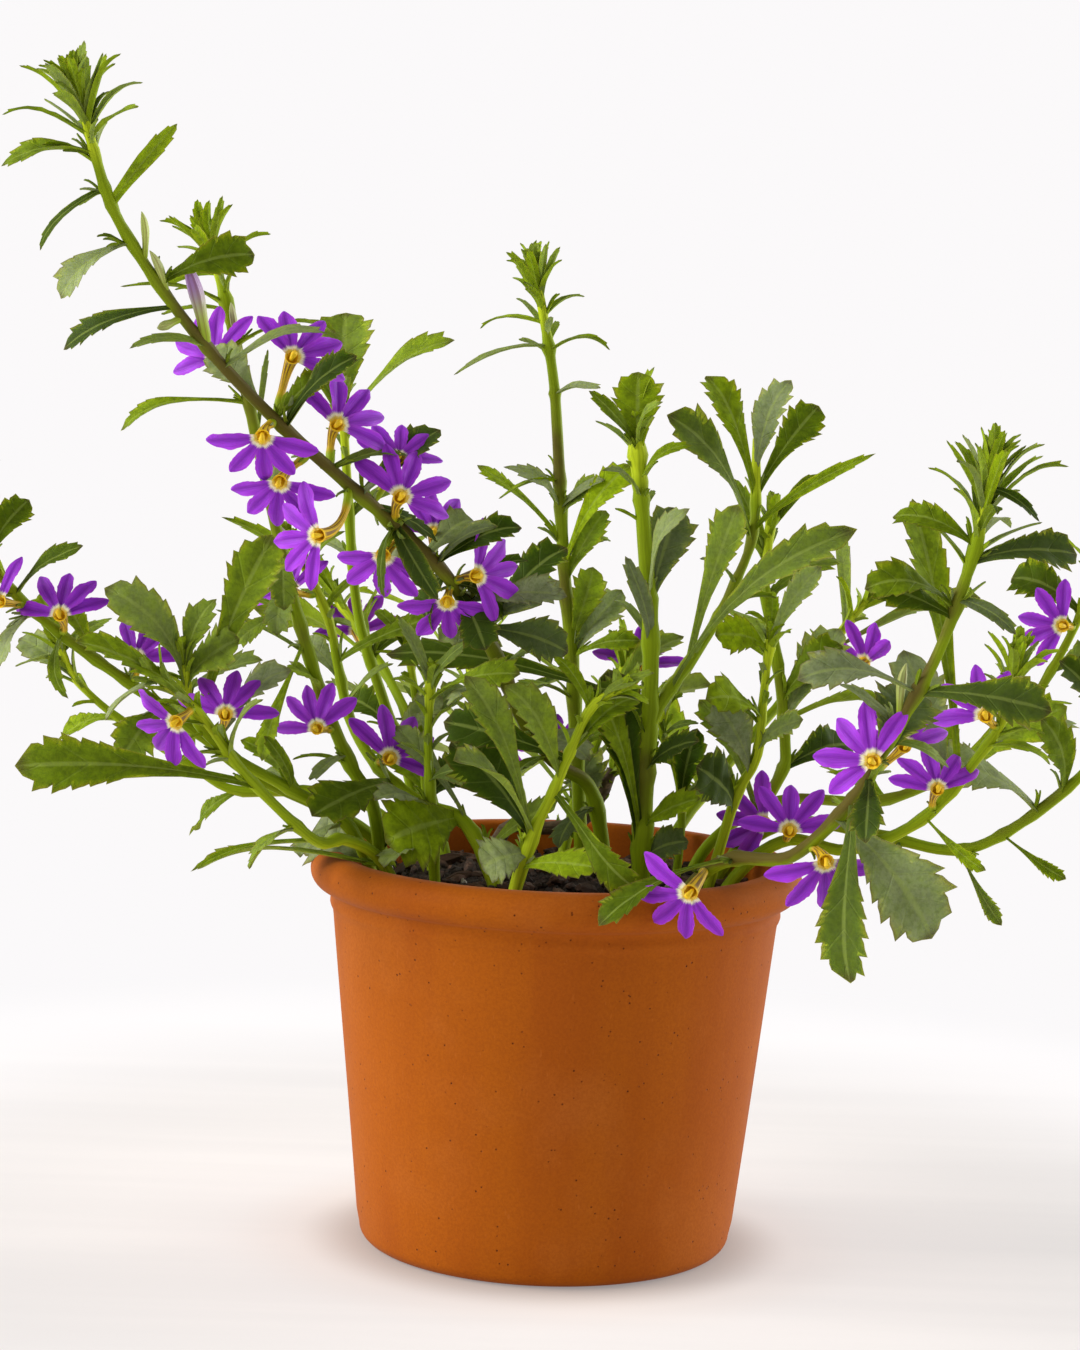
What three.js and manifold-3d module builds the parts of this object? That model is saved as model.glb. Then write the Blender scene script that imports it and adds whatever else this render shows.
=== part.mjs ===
// A potted fan flower: a terracotta pot filled with soil, the leafy stems that stand in
// the soil and sprawl over the rim, and the one-sided violet blooms along the stems.
// Millimetres, +Z up. The origin is the middle of the pot's foot, and -Y is the front.
import * as THREE from 'three';
import { mergeVertices } from 'three/addons/utils/BufferGeometryUtils.js';
import Module from 'manifold-3d';

const wasm = await Module();
wasm.setup();

// Pot: a five inch flowerpot with a half-round rolled rim over a narrow cove.
const POT_HEIGHT = 104;
const RIM_RADIUS = 65;
const RIM_BAND = 10;
const COVE_HEIGHT = 2.5;
const ROLL_TURNS = [-70, -30, 10, 50, 90];
const LIP_WIDTH = 0.8;
const LIP_DEPTH = 4;
const BODY_RADIUS = 59.3;
const FOOT_RADIUS = 49.3;
const FOOT_ROUNDING = 4;
const FOOT_TURNS = [0, 45, 90];
const POT_WALL = 4.5;
const POT_FLOOR = 6;
const POT_SEGMENTS = 24;
const DRAIN_HOLES = 3;
const DRAIN_RADIUS = 5;
const DRAIN_CIRCLE = 20;
const DRAIN_FIRST_TURN = 30;
const DRAIN_SIDES = 12;

// Soil: fills the pot to a little below the rim. Its top waves gently, sinks towards the
// edge and is crumbly.
const SOIL_TOP = 96.5;
const SOIL_WAVE = 0.9;
const SOIL_WAVE_ACROSS = 0.13;
const SOIL_WAVE_START = 0.7;
const SOIL_WAVE_BACK = 0.11;
const SOIL_SAG = 0.0006;
const SOIL_EDGE_DROP = 3;
const SOIL_ROUGHNESS = 1.1;
const SOIL_RINGS = 2;
const SOIL_SEED = 11;
const CLEARANCE = 0.35;

// Stems: round canes that taper from the foot to the tip.
const STEM_SIDES = 5;
const STEM_STEP = 22;
const FEWEST_STEPS = 3;
const CURVE_TENSION = 0.5;
const HOLE_GAP = 0.4;

// Leaves: thin blades with a raised gutter, thickest along the midrib.
const RIB_THICKNESS = 1.3;
const TIP_THICKNESS = 0.8;
const GUTTER = 0.22;
const ROOT_SINK = 0.6;
const ARCH_PLACE = 0.45;
const SWELL_SHARPNESS = 1.1;
const TEETH_FROM = 0.3;
const TEETH_TO = 0.9;
const PLAIN_CORNER = 0.58;
const TOOTH_LEAN = 0.72;
const TOOTH_REACH = 1.15;
const NOTCH_DEPTH = 0.84;
const FRONT_UP = [0, -0.6, 0.8];
const BACK_UP = [0, 0.6, 0.8];

// A kind of blade has its teeth a side, the places of its midrib's corners between the root
// (0) and the tip (1), the width of its stalk as a share, and how far out it is fullest.
const LEAF_KINDS = {
  large: { teeth: 3, rib: [0.3, 0.65], petiole: 0.17, fullest: 1.9 },
  medium: { teeth: 2, rib: [0.3, 0.65], petiole: 0.17, fullest: 1.9 },
  narrow: { teeth: 1, rib: [0.34, 0.68], petiole: 0.3, fullest: 1.5 },
  bract: { teeth: 1, rib: [0.5], petiole: 0.3, fullest: 1.4 },
  young: { teeth: 0, rib: [0.55], petiole: 0.3, fullest: 1.4 },
};

// Blooms: five petals fanned to one side of the throat of a curved tube.
const PETALS = 5;
const PETAL_SPREAD = 36;
const PETAL_LENGTH = 12.8;
const PETAL_SHARES = [0.92, 1.04];
const PETAL_LEAN = 1.2;
const PETAL_SHOULDER = 10.2;
const PETAL_MIDDLE = 7.2;
const PETAL_SPLIT = 4;
const SHOULDER_ANGLE = 14;
const PETAL_FLARE = 2.4;
const PETAL_THICKNESS = 1.1;
const THROAT_DOME = 0.5;
const THROAT_RADIUS = 1.9;
const THROAT_BACK = 2.3;
const TUBE_RADIUS = 1.2;
const TUBE_DEPTH = 1.4;
const TUBE_RINGS = [{ place: 0.6, share: 1 }, { place: 0.25, share: 0.6 }];
const TUBE_TURNS = [-135, -45, 45, 135];
const TUBE_ROOT_GAP = 0.4;
const TUBE_BEND = 0.6;
const BLOOM_SEED = 100;

// Rosettes: young leaves wound round the stem tips. The innermost stand nearly upright and
// the outermost are the longest and the most open.
const ROSETTE_TURN = 137.5;
const ROSETTE_TURN_DRAW = 15;
const ROSETTE_WIDTH = 5;
const ROSETTE_FIRST = 1.5;
const ROSETTE_STEP = 2.2;
const ROSETTE_OPENING = 18;
const ROSETTE_OPENED = 74;
const ROSETTE_OPENING_DRAW = 6;
const ROSETTE_INNER_SHARE = 0.6;
const ROSETTE_REACH_DRAW = [0.85, 1.1];
const ROSETTE_ARCH = -0.12;
const ROSETTE_SEED = 200;

// A leaf that would cross a neighbour is bent aside: each row is the share of the length
// that is kept, then the shift of the tip towards the back and upwards.
const LEAF_BENDS = [1, 0.82, 0.64].flatMap((length) => [
  [0, 0], [-4, 0], [4, 0], [0, 4], [0, -4], [-8, 0], [8, 0], [-8, 5], [8, 5], [0, 9],
  [-8, -5], [8, -5], [-13, 0], [13, 0], [-13, 7], [13, 7], [0, 14], [-18, 4], [18, 4],
].map(([back, up]) => ({ length, back, up })));

// A bloom that would cross a neighbour is shifted: sideways, towards the back, upwards.
const BLOOM_SHIFTS = [
  [0, 0, 0], [0, -2, 0], [0, 2, 0], [0, 0, 2], [0, 0, -2], [2, 0, 0], [-2, 0, 0],
  [0, -4, 0], [0, 4, 0], [0, -4, 3], [0, -4, -3], [4, -2, 0], [-4, -2, 0], [0, -6, 0],
  [4, -4, 3], [-4, -4, 3], [4, -4, -3], [-4, -4, -3], [0, 6, 3], [0, -8, 0], [6, -6, 4],
  [-6, -6, 4], [6, -6, -4], [-6, -6, -4], [0, -6, 8], [0, -6, -8], [8, -4, 0], [-8, -4, 0],
  [8, -8, 6], [-8, -8, 6], [0, -10, -8], [10, -4, -6], [-10, -4, -6], [0, 8, 6], [0, 8, -6],
];

// The stems, each with its route from the foot in the soil to the tip. A leaf is given by
// its place along the stem, its tip, its kind, its width, how far it arches, and its roll.
// A bloom is given by its place along the stem, its throat, how far it is turned from the
// front and lifted, the turn of its fan (0 right, 90 up) and its size. A rosette is given
// by its count of leaves and the length of the longest.
const STEMS = [
  // The tall stem on the left, with a small leaf rosette at its top.
  {
    name: 'tall_left',
    colour: 'green',
    facing: FRONT_UP,
    route: [
      [-45, 2, 86], [-49, 0, 114], [-56, -2, 127], [-65, -5, 149], [-74, -8, 179], [-83, -5, 214],
      [-92, 2, 247], [-97, 6, 261],
    ],
    radius: [1.9, 1.2],
    rosette: [8, 20],
    leaves: [
      [0.85, [-118, -10, 249], 'narrow', 6, 6, 0],
      [0.86, [-84, -8, 257], 'narrow', 6, 5, 10],
      [0.84, [-109, 9, 242], 'medium', 9, 4, 0],
      [0.8, [-62, -15, 239], 'medium', 10, 6, -20],
      [0.74, [-117, -10, 212], 'large', 12, 7, 10],
      [0.7, [-81, 11, 234], 'narrow', 5, 4, 0],
      [0.58, [-73, -20, 168], 'large', 11, 5, 60],
      [0.46, [-92, -2, 166], 'narrow', 7, 4, 0],
      [0.4, [-72, -14, 152], 'large', 12, 4, 20],
      [0.28, [-70, -16, 129], 'narrow', 6, 3, 10],
      [0.3, [-65, -12, 118], 'bract', 8, 3, 0],
      [0.5, [-84, 9, 168], 'narrow', 6, 4, 0],
    ],
    blooms: [
      [0.78, [-93, -10, 232], -20, 10, 130, 1],
      [0.35, [-64, -13, 137], -15, 10, 110, 0.9],
    ],
  },
  // The long flowering stem that arches over the front to the upper left.
  {
    name: 'long_front',
    colour: 'green',
    facing: FRONT_UP,
    route: [
      [15, 6, 86], [9, 5, 119], [-1, 0, 128], [-11, -8, 141], [-19, -24, 160], [-33, -43, 182],
      [-57, -60, 204], [-77, -72, 222], [-95, -82, 242], [-110, -89, 264], [-116, -92, 280],
      [-119, -94, 292],
    ],
    radius: [2.0, 1.1],
    rosette: [10, 23],
    leaves: [
      [0.84, [-98, -80, 288], 'narrow', 7, 5, 0],
      [0.91, [-137, -96, 276], 'large', 12, 5, 20],
      [0.86, [-129, -85, 257], 'narrow', 7, 4, 0],
      [0.76, [-79, -79, 258], 'large', 11, 6, 10],
      [0.8, [-123, -92, 246], 'medium', 10, 5, 10],
      [0.7, [-107, -90, 235], 'narrow', 7, 5, 0],
      [0.61, [-54, -77, 235], 'medium', 9, 5, 0],
      [0.53, [-42, -67, 211], 'bract', 6, 3, 0],
      [0.52, [-34, -59, 216], 'bract', 8, 4, 10],
      [0.5, [-33, -63, 176], 'bract', 8, 4, 30],
      [0.46, [-19, -55, 194], 'bract', 9, 4, 0],
      [0.42, [-11, -32, 184], 'bract', 8, 4, 0],
      [0.39, [-2, -41, 178], 'bract', 9, 5, 10],
      [0.34, [-2, -30, 162], 'medium', 10, 5, 0],
      [0.36, [-33, -34, 163], 'large', 11, 5, 20],
      [0.32, [-30, -30, 146], 'medium', 10, 4, 30],
      [0.5, [-46, -58, 170], 'narrow', 8, 4, 50],
      [0.25, [7, -21, 132], 'medium', 10, 5, 20],
      [0.2, [-16, -16, 123], 'large', 11, 4, 30],
      [0.08, [0, -9, 107], 'medium', 10, 4, 30],
    ],
    blooms: [
      [0.62, [-70, -67, 234], 15, 25, 55, 1],
      [0.62, [-76, -79, 215], 0, -25, 270, 1],
      [0.56, [-59, -63, 218], 20, 20, 50, 1],
      [0.52, [-44, -59, 210], 10, 30, 80, 0.8],
      [0.58, [-72, -72, 204], -10, -20, 265, 0.95],
      [0.54, [-62, -70, 200], -25, 0, 190, 0.95],
      [0.5, [-43, -60, 201], 15, 20, 60, 1],
      [0.49, [-47, -56, 186], -15, -20, 262, 1],
      [0.46, [-35, -43, 191], 10, 25, 85, 0.9],
      [0.44, [-24, -47, 181], 30, 5, 10, 1],
      [0.44, [-31, -44, 174], 0, -25, 270, 0.95],
    ],
  },
  // The straight bare stem in the middle.
  {
    name: 'upright_middle',
    colour: 'green',
    facing: FRONT_UP,
    route: [[8, 16, 86], [3, 17, 146], [-1, 19, 181], [-4, 22, 216], [-6, 23, 232], [-11, 24, 256]],
    radius: [1.9, 1.2],
    rosette: [8, 19],
    leaves: [
      [0.85, [-32, 9, 229], 'narrow', 7, 6, 20],
      [0.84, [9, 9, 237], 'narrow', 7, 5, 0],
      [0.7, [7, 11, 227], 'bract', 6, 3, 0],
      [0.51, [-19, 7, 197], 'narrow', 7, 5, 30],
      [0.47, [9, 10, 203], 'bract', 7, 3, 0],
      [0.33, [-13, 28, 179], 'narrow', 6, 4, 0],
      [0.24, [20, 5, 161], 'medium', 8, 4, 20],
      [0.4, [12, 33, 185], 'narrow', 6, 3, 0],
      [0.19, [-13, 3, 147], 'medium', 10, 4, 10],
      [0.14, [22, 33, 137], 'large', 12, 5, 0],
    ],
    blooms: [],
  },
  // The thickest stem, which forks low down into a leafy branch.
  {
    name: 'thick_front',
    colour: 'green',
    facing: FRONT_UP,
    route: [[22, -4, 86], [22, -6, 123], [22, -9, 160], [19, -10, 190], [16, -9, 215]],
    radius: [2.6, 1.7],
    rosette: [3, 14],
    leaves: [
      [0.94, [16, -5, 232], 'large', 13, 5, -10],
      [0.96, [3, -17, 227], 'narrow', 9, 4, 0],
      [0.89, [30, -18, 214], 'narrow', 8, 4, 0],
      [0.97, [22, -21, 225], 'narrow', 7, 4, 0],
      [0.84, [7, -22, 207], 'narrow', 6, 4, 0],
      [0.6, [30, -20, 198], 'medium', 9, 5, -20],
      [0.52, [12, -1, 172], 'narrow', 6, 4, 0],
      [0.39, [-47, -22, 152], 'large', 14, 12, 10],
      [0.34, [7, -21, 151], 'medium', 10, 4, 0],
      [0.28, [35, -20, 138], 'large', 11, 4, 10],
      [0.14, [8, -15, 150], 'medium', 10, 4, 10],
      [0.18, [36, -19, 123], 'medium', 10, 4, 20],
    ],
    blooms: [],
    branch: {
      route: [
        [22, -8, 138], [26, -6, 147], [37, 2, 163], [44, 8, 176], [49, 12, 191], [49, 16, 215],
      ],
      radius: [1.7, 1.0],
      leaves: [
        [0.32, [43, -11, 199], 'large', 12, 6, 0],
        [0.24, [72, -31, 195], 'large', 13, 14, -30],
        [0.77, [24, -1, 221], 'large', 15, 7, 20],
        [0.87, [35, 19, 231], 'large', 11, 6, 0],
        [0.88, [66, 6, 220], 'large', 11, 6, 0],
        [0.8, [79, -2, 213], 'narrow', 7, 8, 20],
        [0.94, [57, 9, 231], 'large', 12, 5, 0],
        [0.61, [34, -4, 184], 'narrow', 6, 4, 0],
        [0.48, [54, -11, 175], 'narrow', 8, 4, 10],
      ],
    },
  },
  // A short green shoot with two large leaves.
  {
    name: 'green_shoot',
    colour: 'green',
    facing: FRONT_UP,
    route: [[38, 2, 86], [46, -2, 120], [51, -5, 132], [52, -7, 148], [53, -8, 164]],
    radius: [1.5, 1.0],
    rosette: [3, 12],
    leaves: [
      [0.94, [30, -16, 174], 'large', 11, 6, 0],
      [0.96, [65, -14, 184], 'medium', 10, 5, 0],
      [0.68, [36, -21, 149], 'large', 12, 4, 20],
      [0.54, [62, -15, 144], 'medium', 10, 4, 0],
      [0.28, [34, 8, 129], 'narrow', 8, 4, 0],
      [0.98, [54, 0, 184], 'narrow', 7, 5, 0],
    ],
    blooms: [],
  },
  // A dark stem behind the forked one.
  {
    name: 'back_right',
    colour: 'green',
    facing: FRONT_UP,
    route: [
      [40, 18, 86], [50, 21, 106], [60, 23, 124], [61, 24, 133], [58, 25, 155], [54, 27, 174],
      [55, 30, 193],
    ],
    radius: [1.8, 1.2],
    rosette: [3, 16],
    leaves: [
      [0.55, [75, 28, 164], 'large', 12, 5, 0],
      [0.66, [44, 37, 159], 'narrow', 8, 4, 0],
      [0.81, [74, 41, 182], 'medium', 10, 5, 0],
      [0.9, [45, 40, 203], 'narrow', 8, 5, 0],
      [0.98, [71, 40, 204], 'narrow', 8, 5, 0],
      [0.36, [80, 35, 131], 'large', 12, 4, 0],
    ],
    blooms: [
      [0.22, [55, 8, 111], -10, 5, 175, 1],
    ],
  },
  // The long stem that leaves over the front of the rim to the right.
  {
    name: 'right_front',
    colour: 'green',
    facing: FRONT_UP,
    route: [
      [26, -26, 86], [34, -38, 104], [42, -53, 113], [55, -76, 118], [67, -92, 134],
      [74, -100, 149], [84, -108, 172], [91, -112, 198], [93, -112, 213],
    ],
    radius: [1.9, 1.1],
    rosette: [10, 24],
    leaves: [
      [0.8, [65, -118, 187], 'large', 11, 6, 10],
      [0.87, [72, -106, 203], 'medium', 10, 6, 0],
      [0.98, [104, -120, 204], 'narrow', 7, 5, 10],
      [0.85, [115, -108, 196], 'large', 12, 7, 10],
      [0.81, [100, -120, 178], 'narrow', 8, 4, 20],
      [0.7, [51, -113, 165], 'large', 12, 6, 20],
      [0.7, [110, -115, 160], 'large', 13, 6, 20],
      [0.65, [62, -112, 156], 'narrow', 8, 4, 0],
      [0.56, [69, -110, 127], 'medium', 9, 4, 50],
      [0.51, [68, -101, 92], 'large', 17, 6, 70],
      [0.47, [87, -99, 103], 'large', 21, 6, 60],
      [0.26, [9, -70, 98], 'large', 14, 7, 30],
      [0.88, [97, -102, 215], 'narrow', 7, 5, 0],
      [0.63, [90, -92, 143], 'narrow', 8, 4, 0],
    ],
    blooms: [
      [0.16, [38, -48, 103], -20, -15, 225, 1.05],
      [0.41, [62, -89, 119], 10, -20, 275, 1.05],
      [0.6, [70, -107, 146], -20, 10, 140, 1],
      [0.56, [79, -93, 148], 10, 25, 90, 0.9],
    ],
  },
  // A stem that leans low over the right of the rim and then rises.
  {
    name: 'right_low',
    colour: 'green',
    facing: FRONT_UP,
    route: [
      [38, -8, 86], [48, -10, 103], [60, -13, 112], [75, -20, 111], [92, -30, 121],
      [104, -38, 138], [110, -42, 150], [112, -42, 164],
    ],
    radius: [1.8, 1.1],
    rosette: [7, 18],
    leaves: [
      [0.64, [86, -28, 164], 'large', 13, 6, -10],
      [0.66, [86, -27, 203], 'large', 13, 14, 0],
      [0.48, [68, -36, 126], 'medium', 10, 4, 0],
      [0.76, [121, -50, 139], 'narrow', 8, 4, 0],
      [0.86, [97, -52, 157], 'narrow', 7, 4, 0],
      [0.58, [107, -45, 111], 'large', 12, 4, 30],
    ],
    blooms: [
      [0.28, [59, -23, 116], 0, 25, 90, 1],
      [0.6, [94, -41, 131], 5, 25, 95, 0.9],
      [0.82, [104, -51, 151], -15, 20, 110, 1],
    ],
  },
  // The farthest stem on the right, which trails before it turns up.
  {
    name: 'right_trailing',
    colour: 'green',
    facing: FRONT_UP,
    route: [
      [38, 12, 86], [47, 12, 103], [63, 11, 113], [86, 6, 111], [104, -2, 109], [117, -8, 115],
      [135, -12, 131], [147, -12, 148], [158, -10, 166],
    ],
    radius: [1.8, 1.1],
    rosette: [4, 18],
    leaves: [
      [0.68, [94, -22, 135], 'large', 13, 7, 10],
      [0.62, [132, -18, 105], 'large', 12, 4, 30],
      [0.72, [123, -19, 147], 'large', 11, 5, 0],
      [0.84, [127, -18, 162], 'large', 11, 5, 0],
      [0.9, [166, -22, 154], 'narrow', 9, 5, 0],
      [0.98, [142, -2, 177], 'narrow', 8, 5, 0],
      [0.52, [116, -17, 92], 'large', 12, 4, 50],
      [0.4, [99, -12, 97], 'narrow', 9, 4, 50],
    ],
    blooms: [],
  },
  // A stem behind, on the right.
  {
    name: 'right_back',
    colour: 'green',
    facing: FRONT_UP,
    route: [
      [33, 23, 86], [42, 27, 104], [61, 37, 115], [90, 44, 115], [111, 42, 125], [124, 40, 135],
      [134, 38, 153], [141, 36, 169], [146, 36, 185],
    ],
    radius: [1.7, 1.0],
    rosette: [3, 16],
    leaves: [
      [0.88, [123, 44, 178], 'large', 12, 6, 0],
      [0.75, [152, 48, 156], 'large', 11, 5, 0],
      [0.5, [102, 54, 137], 'large', 12, 5, 0],
      [0.62, [143, 54, 138], 'large', 11, 5, 0],
      [0.96, [158, 30, 190], 'narrow', 8, 5, 0],
      [0.38, [78, 64, 120], 'large', 12, 5, 0],
    ],
    blooms: [
      [0.85, [135, 27, 167], -20, 5, 170, 0.95],
    ],
  },
  // The farthest stem on the left.
  {
    name: 'left_trailing',
    colour: 'green',
    facing: FRONT_UP,
    route: [
      [-40, 16, 86], [-49, 13, 104], [-63, 8, 113], [-82, -2, 123], [-96, -10, 135],
      [-113, -18, 148], [-131, -22, 161], [-145, -26, 175], [-161, -26, 201],
    ],
    radius: [1.8, 1.1],
    rosette: [4, 18],
    leaves: [
      [0.5, [-83, 0, 166], 'narrow', 8, 5, 0],
      [0.84, [-123, -35, 184], 'medium', 10, 5, 0],
      [0.8, [-144, -32, 152], 'medium', 10, 4, 30],
      [0.68, [-132, -8, 168], 'medium', 9, 4, 0],
      [0.62, [-106, -28, 160], 'narrow', 8, 4, 0],
      [0.93, [-167, -34, 181], 'large', 11, 5, 20],
      [0.9, [-139, -18, 194], 'medium', 10, 5, 0],
      [0.56, [-113, -26, 129], 'large', 12, 4, 40],
      [0.74, [-126, -34, 145], 'narrow', 9, 4, 50],
    ],
    blooms: [
      [0.74, [-129, -31, 166], -10, 25, 95, 0.95],
      [0.82, [-144, -33, 169], -25, 10, 150, 0.9],
      [0.62, [-110, -26, 155], -10, 20, 80, 0.9],
    ],
  },
  // A young light green stem at the front left, with large leaves.
  {
    name: 'left_front',
    colour: 'green',
    facing: FRONT_UP,
    route: [
      [-38, -14, 86], [-46, -21, 104], [-55, -31, 111], [-61, -38, 111], [-69, -44, 118],
      [-81, -50, 131], [-91, -56, 145], [-102, -60, 155],
    ],
    radius: [1.7, 1.0],
    rosette: [3, 14],
    leaves: [
      [0.33, [-93, -47, 104], 'narrow', 7, 4, 30],
      [0.67, [-135, -66, 132], 'large', 13, 10, 10],
      [0.86, [-121, -66, 163], 'large', 13, 7, 10],
      [0.75, [-75, -62, 150], 'narrow', 8, 4, 0],
      [0.54, [-78, -52, 106], 'medium', 10, 4, 40],
      [0.98, [-113, -67, 144], 'narrow', 8, 4, 30],
    ],
    blooms: [
      [0.88, [-96, -65, 144], -25, -15, 225, 0.95],
    ],
  },
  // A stem on the left that ends in large round leaves.
  {
    name: 'left_middle',
    colour: 'green',
    facing: FRONT_UP,
    route: [
      [-44, -4, 86], [-55, -10, 111], [-70, -16, 121], [-86, -24, 131], [-95, -30, 142],
      [-97, -34, 155],
    ],
    radius: [1.7, 1.1],
    rosette: [3, 16],
    leaves: [
      [0.74, [-76, -35, 188], 'large', 14, 9, 0],
      [0.9, [-117, -40, 174], 'large', 17, 9, 10],
      [0.96, [-89, -37, 172], 'medium', 9, 5, 0],
      [0.6, [-99, -34, 127], 'narrow', 8, 4, 30],
      [0.4, [-77, -24, 136], 'narrow', 8, 4, 0],
      [0.21, [-67, -20, 104], 'medium', 10, 4, 40],
    ],
    blooms: [
      [0.68, [-86, -36, 143], 0, 25, 85, 0.95],
    ],
  },
  // A thin stem behind, on the left.
  {
    name: 'left_back',
    colour: 'green',
    facing: FRONT_UP,
    route: [
      [-34, 24, 86], [-42, 28, 104], [-61, 36, 113], [-87, 40, 112], [-100, 41, 118],
      [-120, 42, 130], [-132, 42, 140], [-138, 42, 150],
    ],
    radius: [1.5, 0.9],
    rosette: [3, 16],
    leaves: [
      [0.86, [-150, 50, 151], 'medium', 10, 5, 0],
      [0.96, [-144, 46, 164], 'medium', 9, 5, 0],
      [0.72, [-138, 52, 123], 'large', 11, 5, 20],
      [0.57, [-108, 53, 135], 'medium', 10, 5, 0],
      [0.43, [-99, 52, 99], 'large', 11, 4, 40],
      [0.98, [-125, 48, 157], 'narrow', 8, 4, 0],
      [0.34, [-82, 54, 115], 'narrow', 8, 4, 0],
    ],
    blooms: [],
  },
  // A stem that curls inside the left of the plant and ends in a bud.
  {
    name: 'left_inner',
    colour: 'green',
    facing: FRONT_UP,
    route: [
      [-12, -20, 86], [-23, -15, 112], [-37, -7, 118], [-48, 2, 125], [-56, 9, 136],
      [-60, 13, 150], [-64, 15, 165], [-75, 17, 186],
    ],
    radius: [1.8, 1.1],
    rosette: [3, 8],
    leaves: [
      [0.61, [-45, 2, 153], 'narrow', 7, 4, 0],
      [0.68, [-71, 24, 156], 'medium', 9, 4, 0],
      [0.43, [-32, -10, 140], 'medium', 9, 4, 0],
      [0.86, [-53, 25, 176], 'narrow', 7, 4, 0],
      [0.37, [-64, -14, 109], 'large', 15, 5, 30],
      [0.92, [-59, 8, 187], 'narrow', 6, 4, 0],
      [0.19, [-42, -29, 101], 'large', 22, 6, 40],
      [0.14, [-44, -3, 123], 'medium', 8, 5, 10],
      [0.1, [-1, -29, 123], 'medium', 10, 4, 10],
    ],
    blooms: [
      [0.89, [-73, 8, 171], -20, 20, 120, 0.85],
      [0.44, [-45, -7, 129], 15, 15, 60, 1],
    ],
  },
  // The stem behind it, with light leaves at its top.
  {
    name: 'left_inner_back',
    colour: 'green',
    facing: FRONT_UP,
    route: [
      [-32, 17, 86], [-41, 24, 122], [-48, 26, 140], [-56, 30, 164], [-60, 33, 199],
      [-62, 34, 221],
    ],
    radius: [1.7, 1.1],
    rosette: [3, 14],
    leaves: [
      [0.93, [-32, 20, 238], 'large', 12, 8, 0],
      [0.98, [-62, 40, 244], 'large', 15, 6, 0],
      [0.94, [-74, 44, 233], 'narrow', 9, 5, 0],
      [0.74, [-46, 46, 196], 'narrow', 7, 4, 0],
      [0.68, [-70, 45, 182], 'narrow', 7, 4, 0],
      [0.5, [-39, 40, 161], 'medium', 9, 4, 0],
      [0.31, [-59, 41, 138], 'large', 11, 4, 0],
    ],
    blooms: [],
  },
  // Two short parallel stems at the centre left.
  {
    name: 'short_back',
    colour: 'green',
    facing: FRONT_UP,
    route: [[-32, 8, 86], [-36, 9, 125], [-38, 10, 137], [-42, 12, 158]],
    radius: [1.5, 1.0],
    rosette: [3, 12],
    leaves: [
      [0.96, [-51, 20, 165], 'narrow', 7, 4, 0],
      [0.96, [-32, 16, 169], 'narrow', 7, 4, 0],
      [0.6, [-25, 20, 145], 'medium', 10, 4, 0],
      [0.26, [-49, 23, 128], 'large', 12, 4, 0],
    ],
    blooms: [],
  },
  {
    name: 'short_front',
    colour: 'green',
    facing: FRONT_UP,
    route: [[-31, -18, 86], [-34, -17, 122], [-35, -16, 134], [-35, -15, 151]],
    radius: [1.5, 1.0],
    rosette: [3, 12],
    leaves: [
      [0.9, [-12, -27, 149], 'medium', 9, 6, 10],
      [0.95, [-25, -21, 162], 'narrow', 8, 4, 0],
      [0.98, [-44, -21, 162], 'narrow', 7, 4, 0],
      [0.38, [-19, -31, 130], 'medium', 10, 4, 10],
      [0.19, [-45, -31, 104], 'medium', 10, 4, 30],
      [0.28, [-48, -29, 121], 'medium', 10, 4, 10],
    ],
    blooms: [],
  },
  // A stem at the front that leans right behind the long leaf.
  {
    name: 'centre_front',
    colour: 'green',
    facing: FRONT_UP,
    route: [
      [-15, -38, 86], [-8, -41, 114], [-3, -43, 126], [1, -44, 137], [6, -46, 149], [13, -48, 154],
    ],
    radius: [1.6, 1.0],
    rosette: [3, 12],
    leaves: [
      [0.2, [-26, -47, 156], 'medium', 10, 8, 0],
      [0.22, [-28, -53, 137], 'large', 12, 6, 10],
      [0.42, [19, -61, 105], 'medium', 9, 5, 40],
      [0.14, [9, -56, 110], 'medium', 9, 5, 20],
      [0.86, [21, -53, 159], 'narrow', 8, 3, 0],
      [0.79, [-4, -42, 161], 'narrow', 7, 4, 0],
      [0.6, [18, -40, 151], 'medium', 10, 5, 0],
    ],
    blooms: [],
  },
  // A thin twig between the two upright stems.
  {
    name: 'thin_centre',
    colour: 'green',
    facing: FRONT_UP,
    route: [[31, 5, 86], [33, 10, 113], [31, 11, 126], [27, 12, 136], [28, 12, 145]],
    radius: [1.2, 0.9],
    rosette: [2, 9],
    leaves: [
      [0.72, [36, 2, 140], 'narrow', 6, 3, 0],
      [0.88, [33, 8, 153], 'narrow', 6, 3, 0],
      [0.33, [48, 23, 122], 'medium', 10, 4, 0],
    ],
    blooms: [],
  },
  // An old woody stem that lies low over the soil.
  {
    name: 'old_wood',
    colour: 'brown',
    facing: FRONT_UP,
    route: [[-19, 33, 86], [-14, 31, 105], [-2, 31, 106], [9, 36, 109], [15, 38, 122]],
    radius: [2.3, 1.3],
    rosette: [2, 9],
    leaves: [
      [0.9, [3, 31, 122], 'narrow', 6, 3, 0],
      [0.97, [22, 30, 123], 'narrow', 6, 3, 0],
    ],
    blooms: [],
  },
  // Stems at the back, out of the front view.
  {
    name: 'back_centre',
    colour: 'green',
    facing: BACK_UP,
    route: [[0, 36, 86], [6, 50, 112], [14, 66, 134], [20, 80, 150]],
    radius: [1.7, 1.1],
    rosette: [4, 17],
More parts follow.
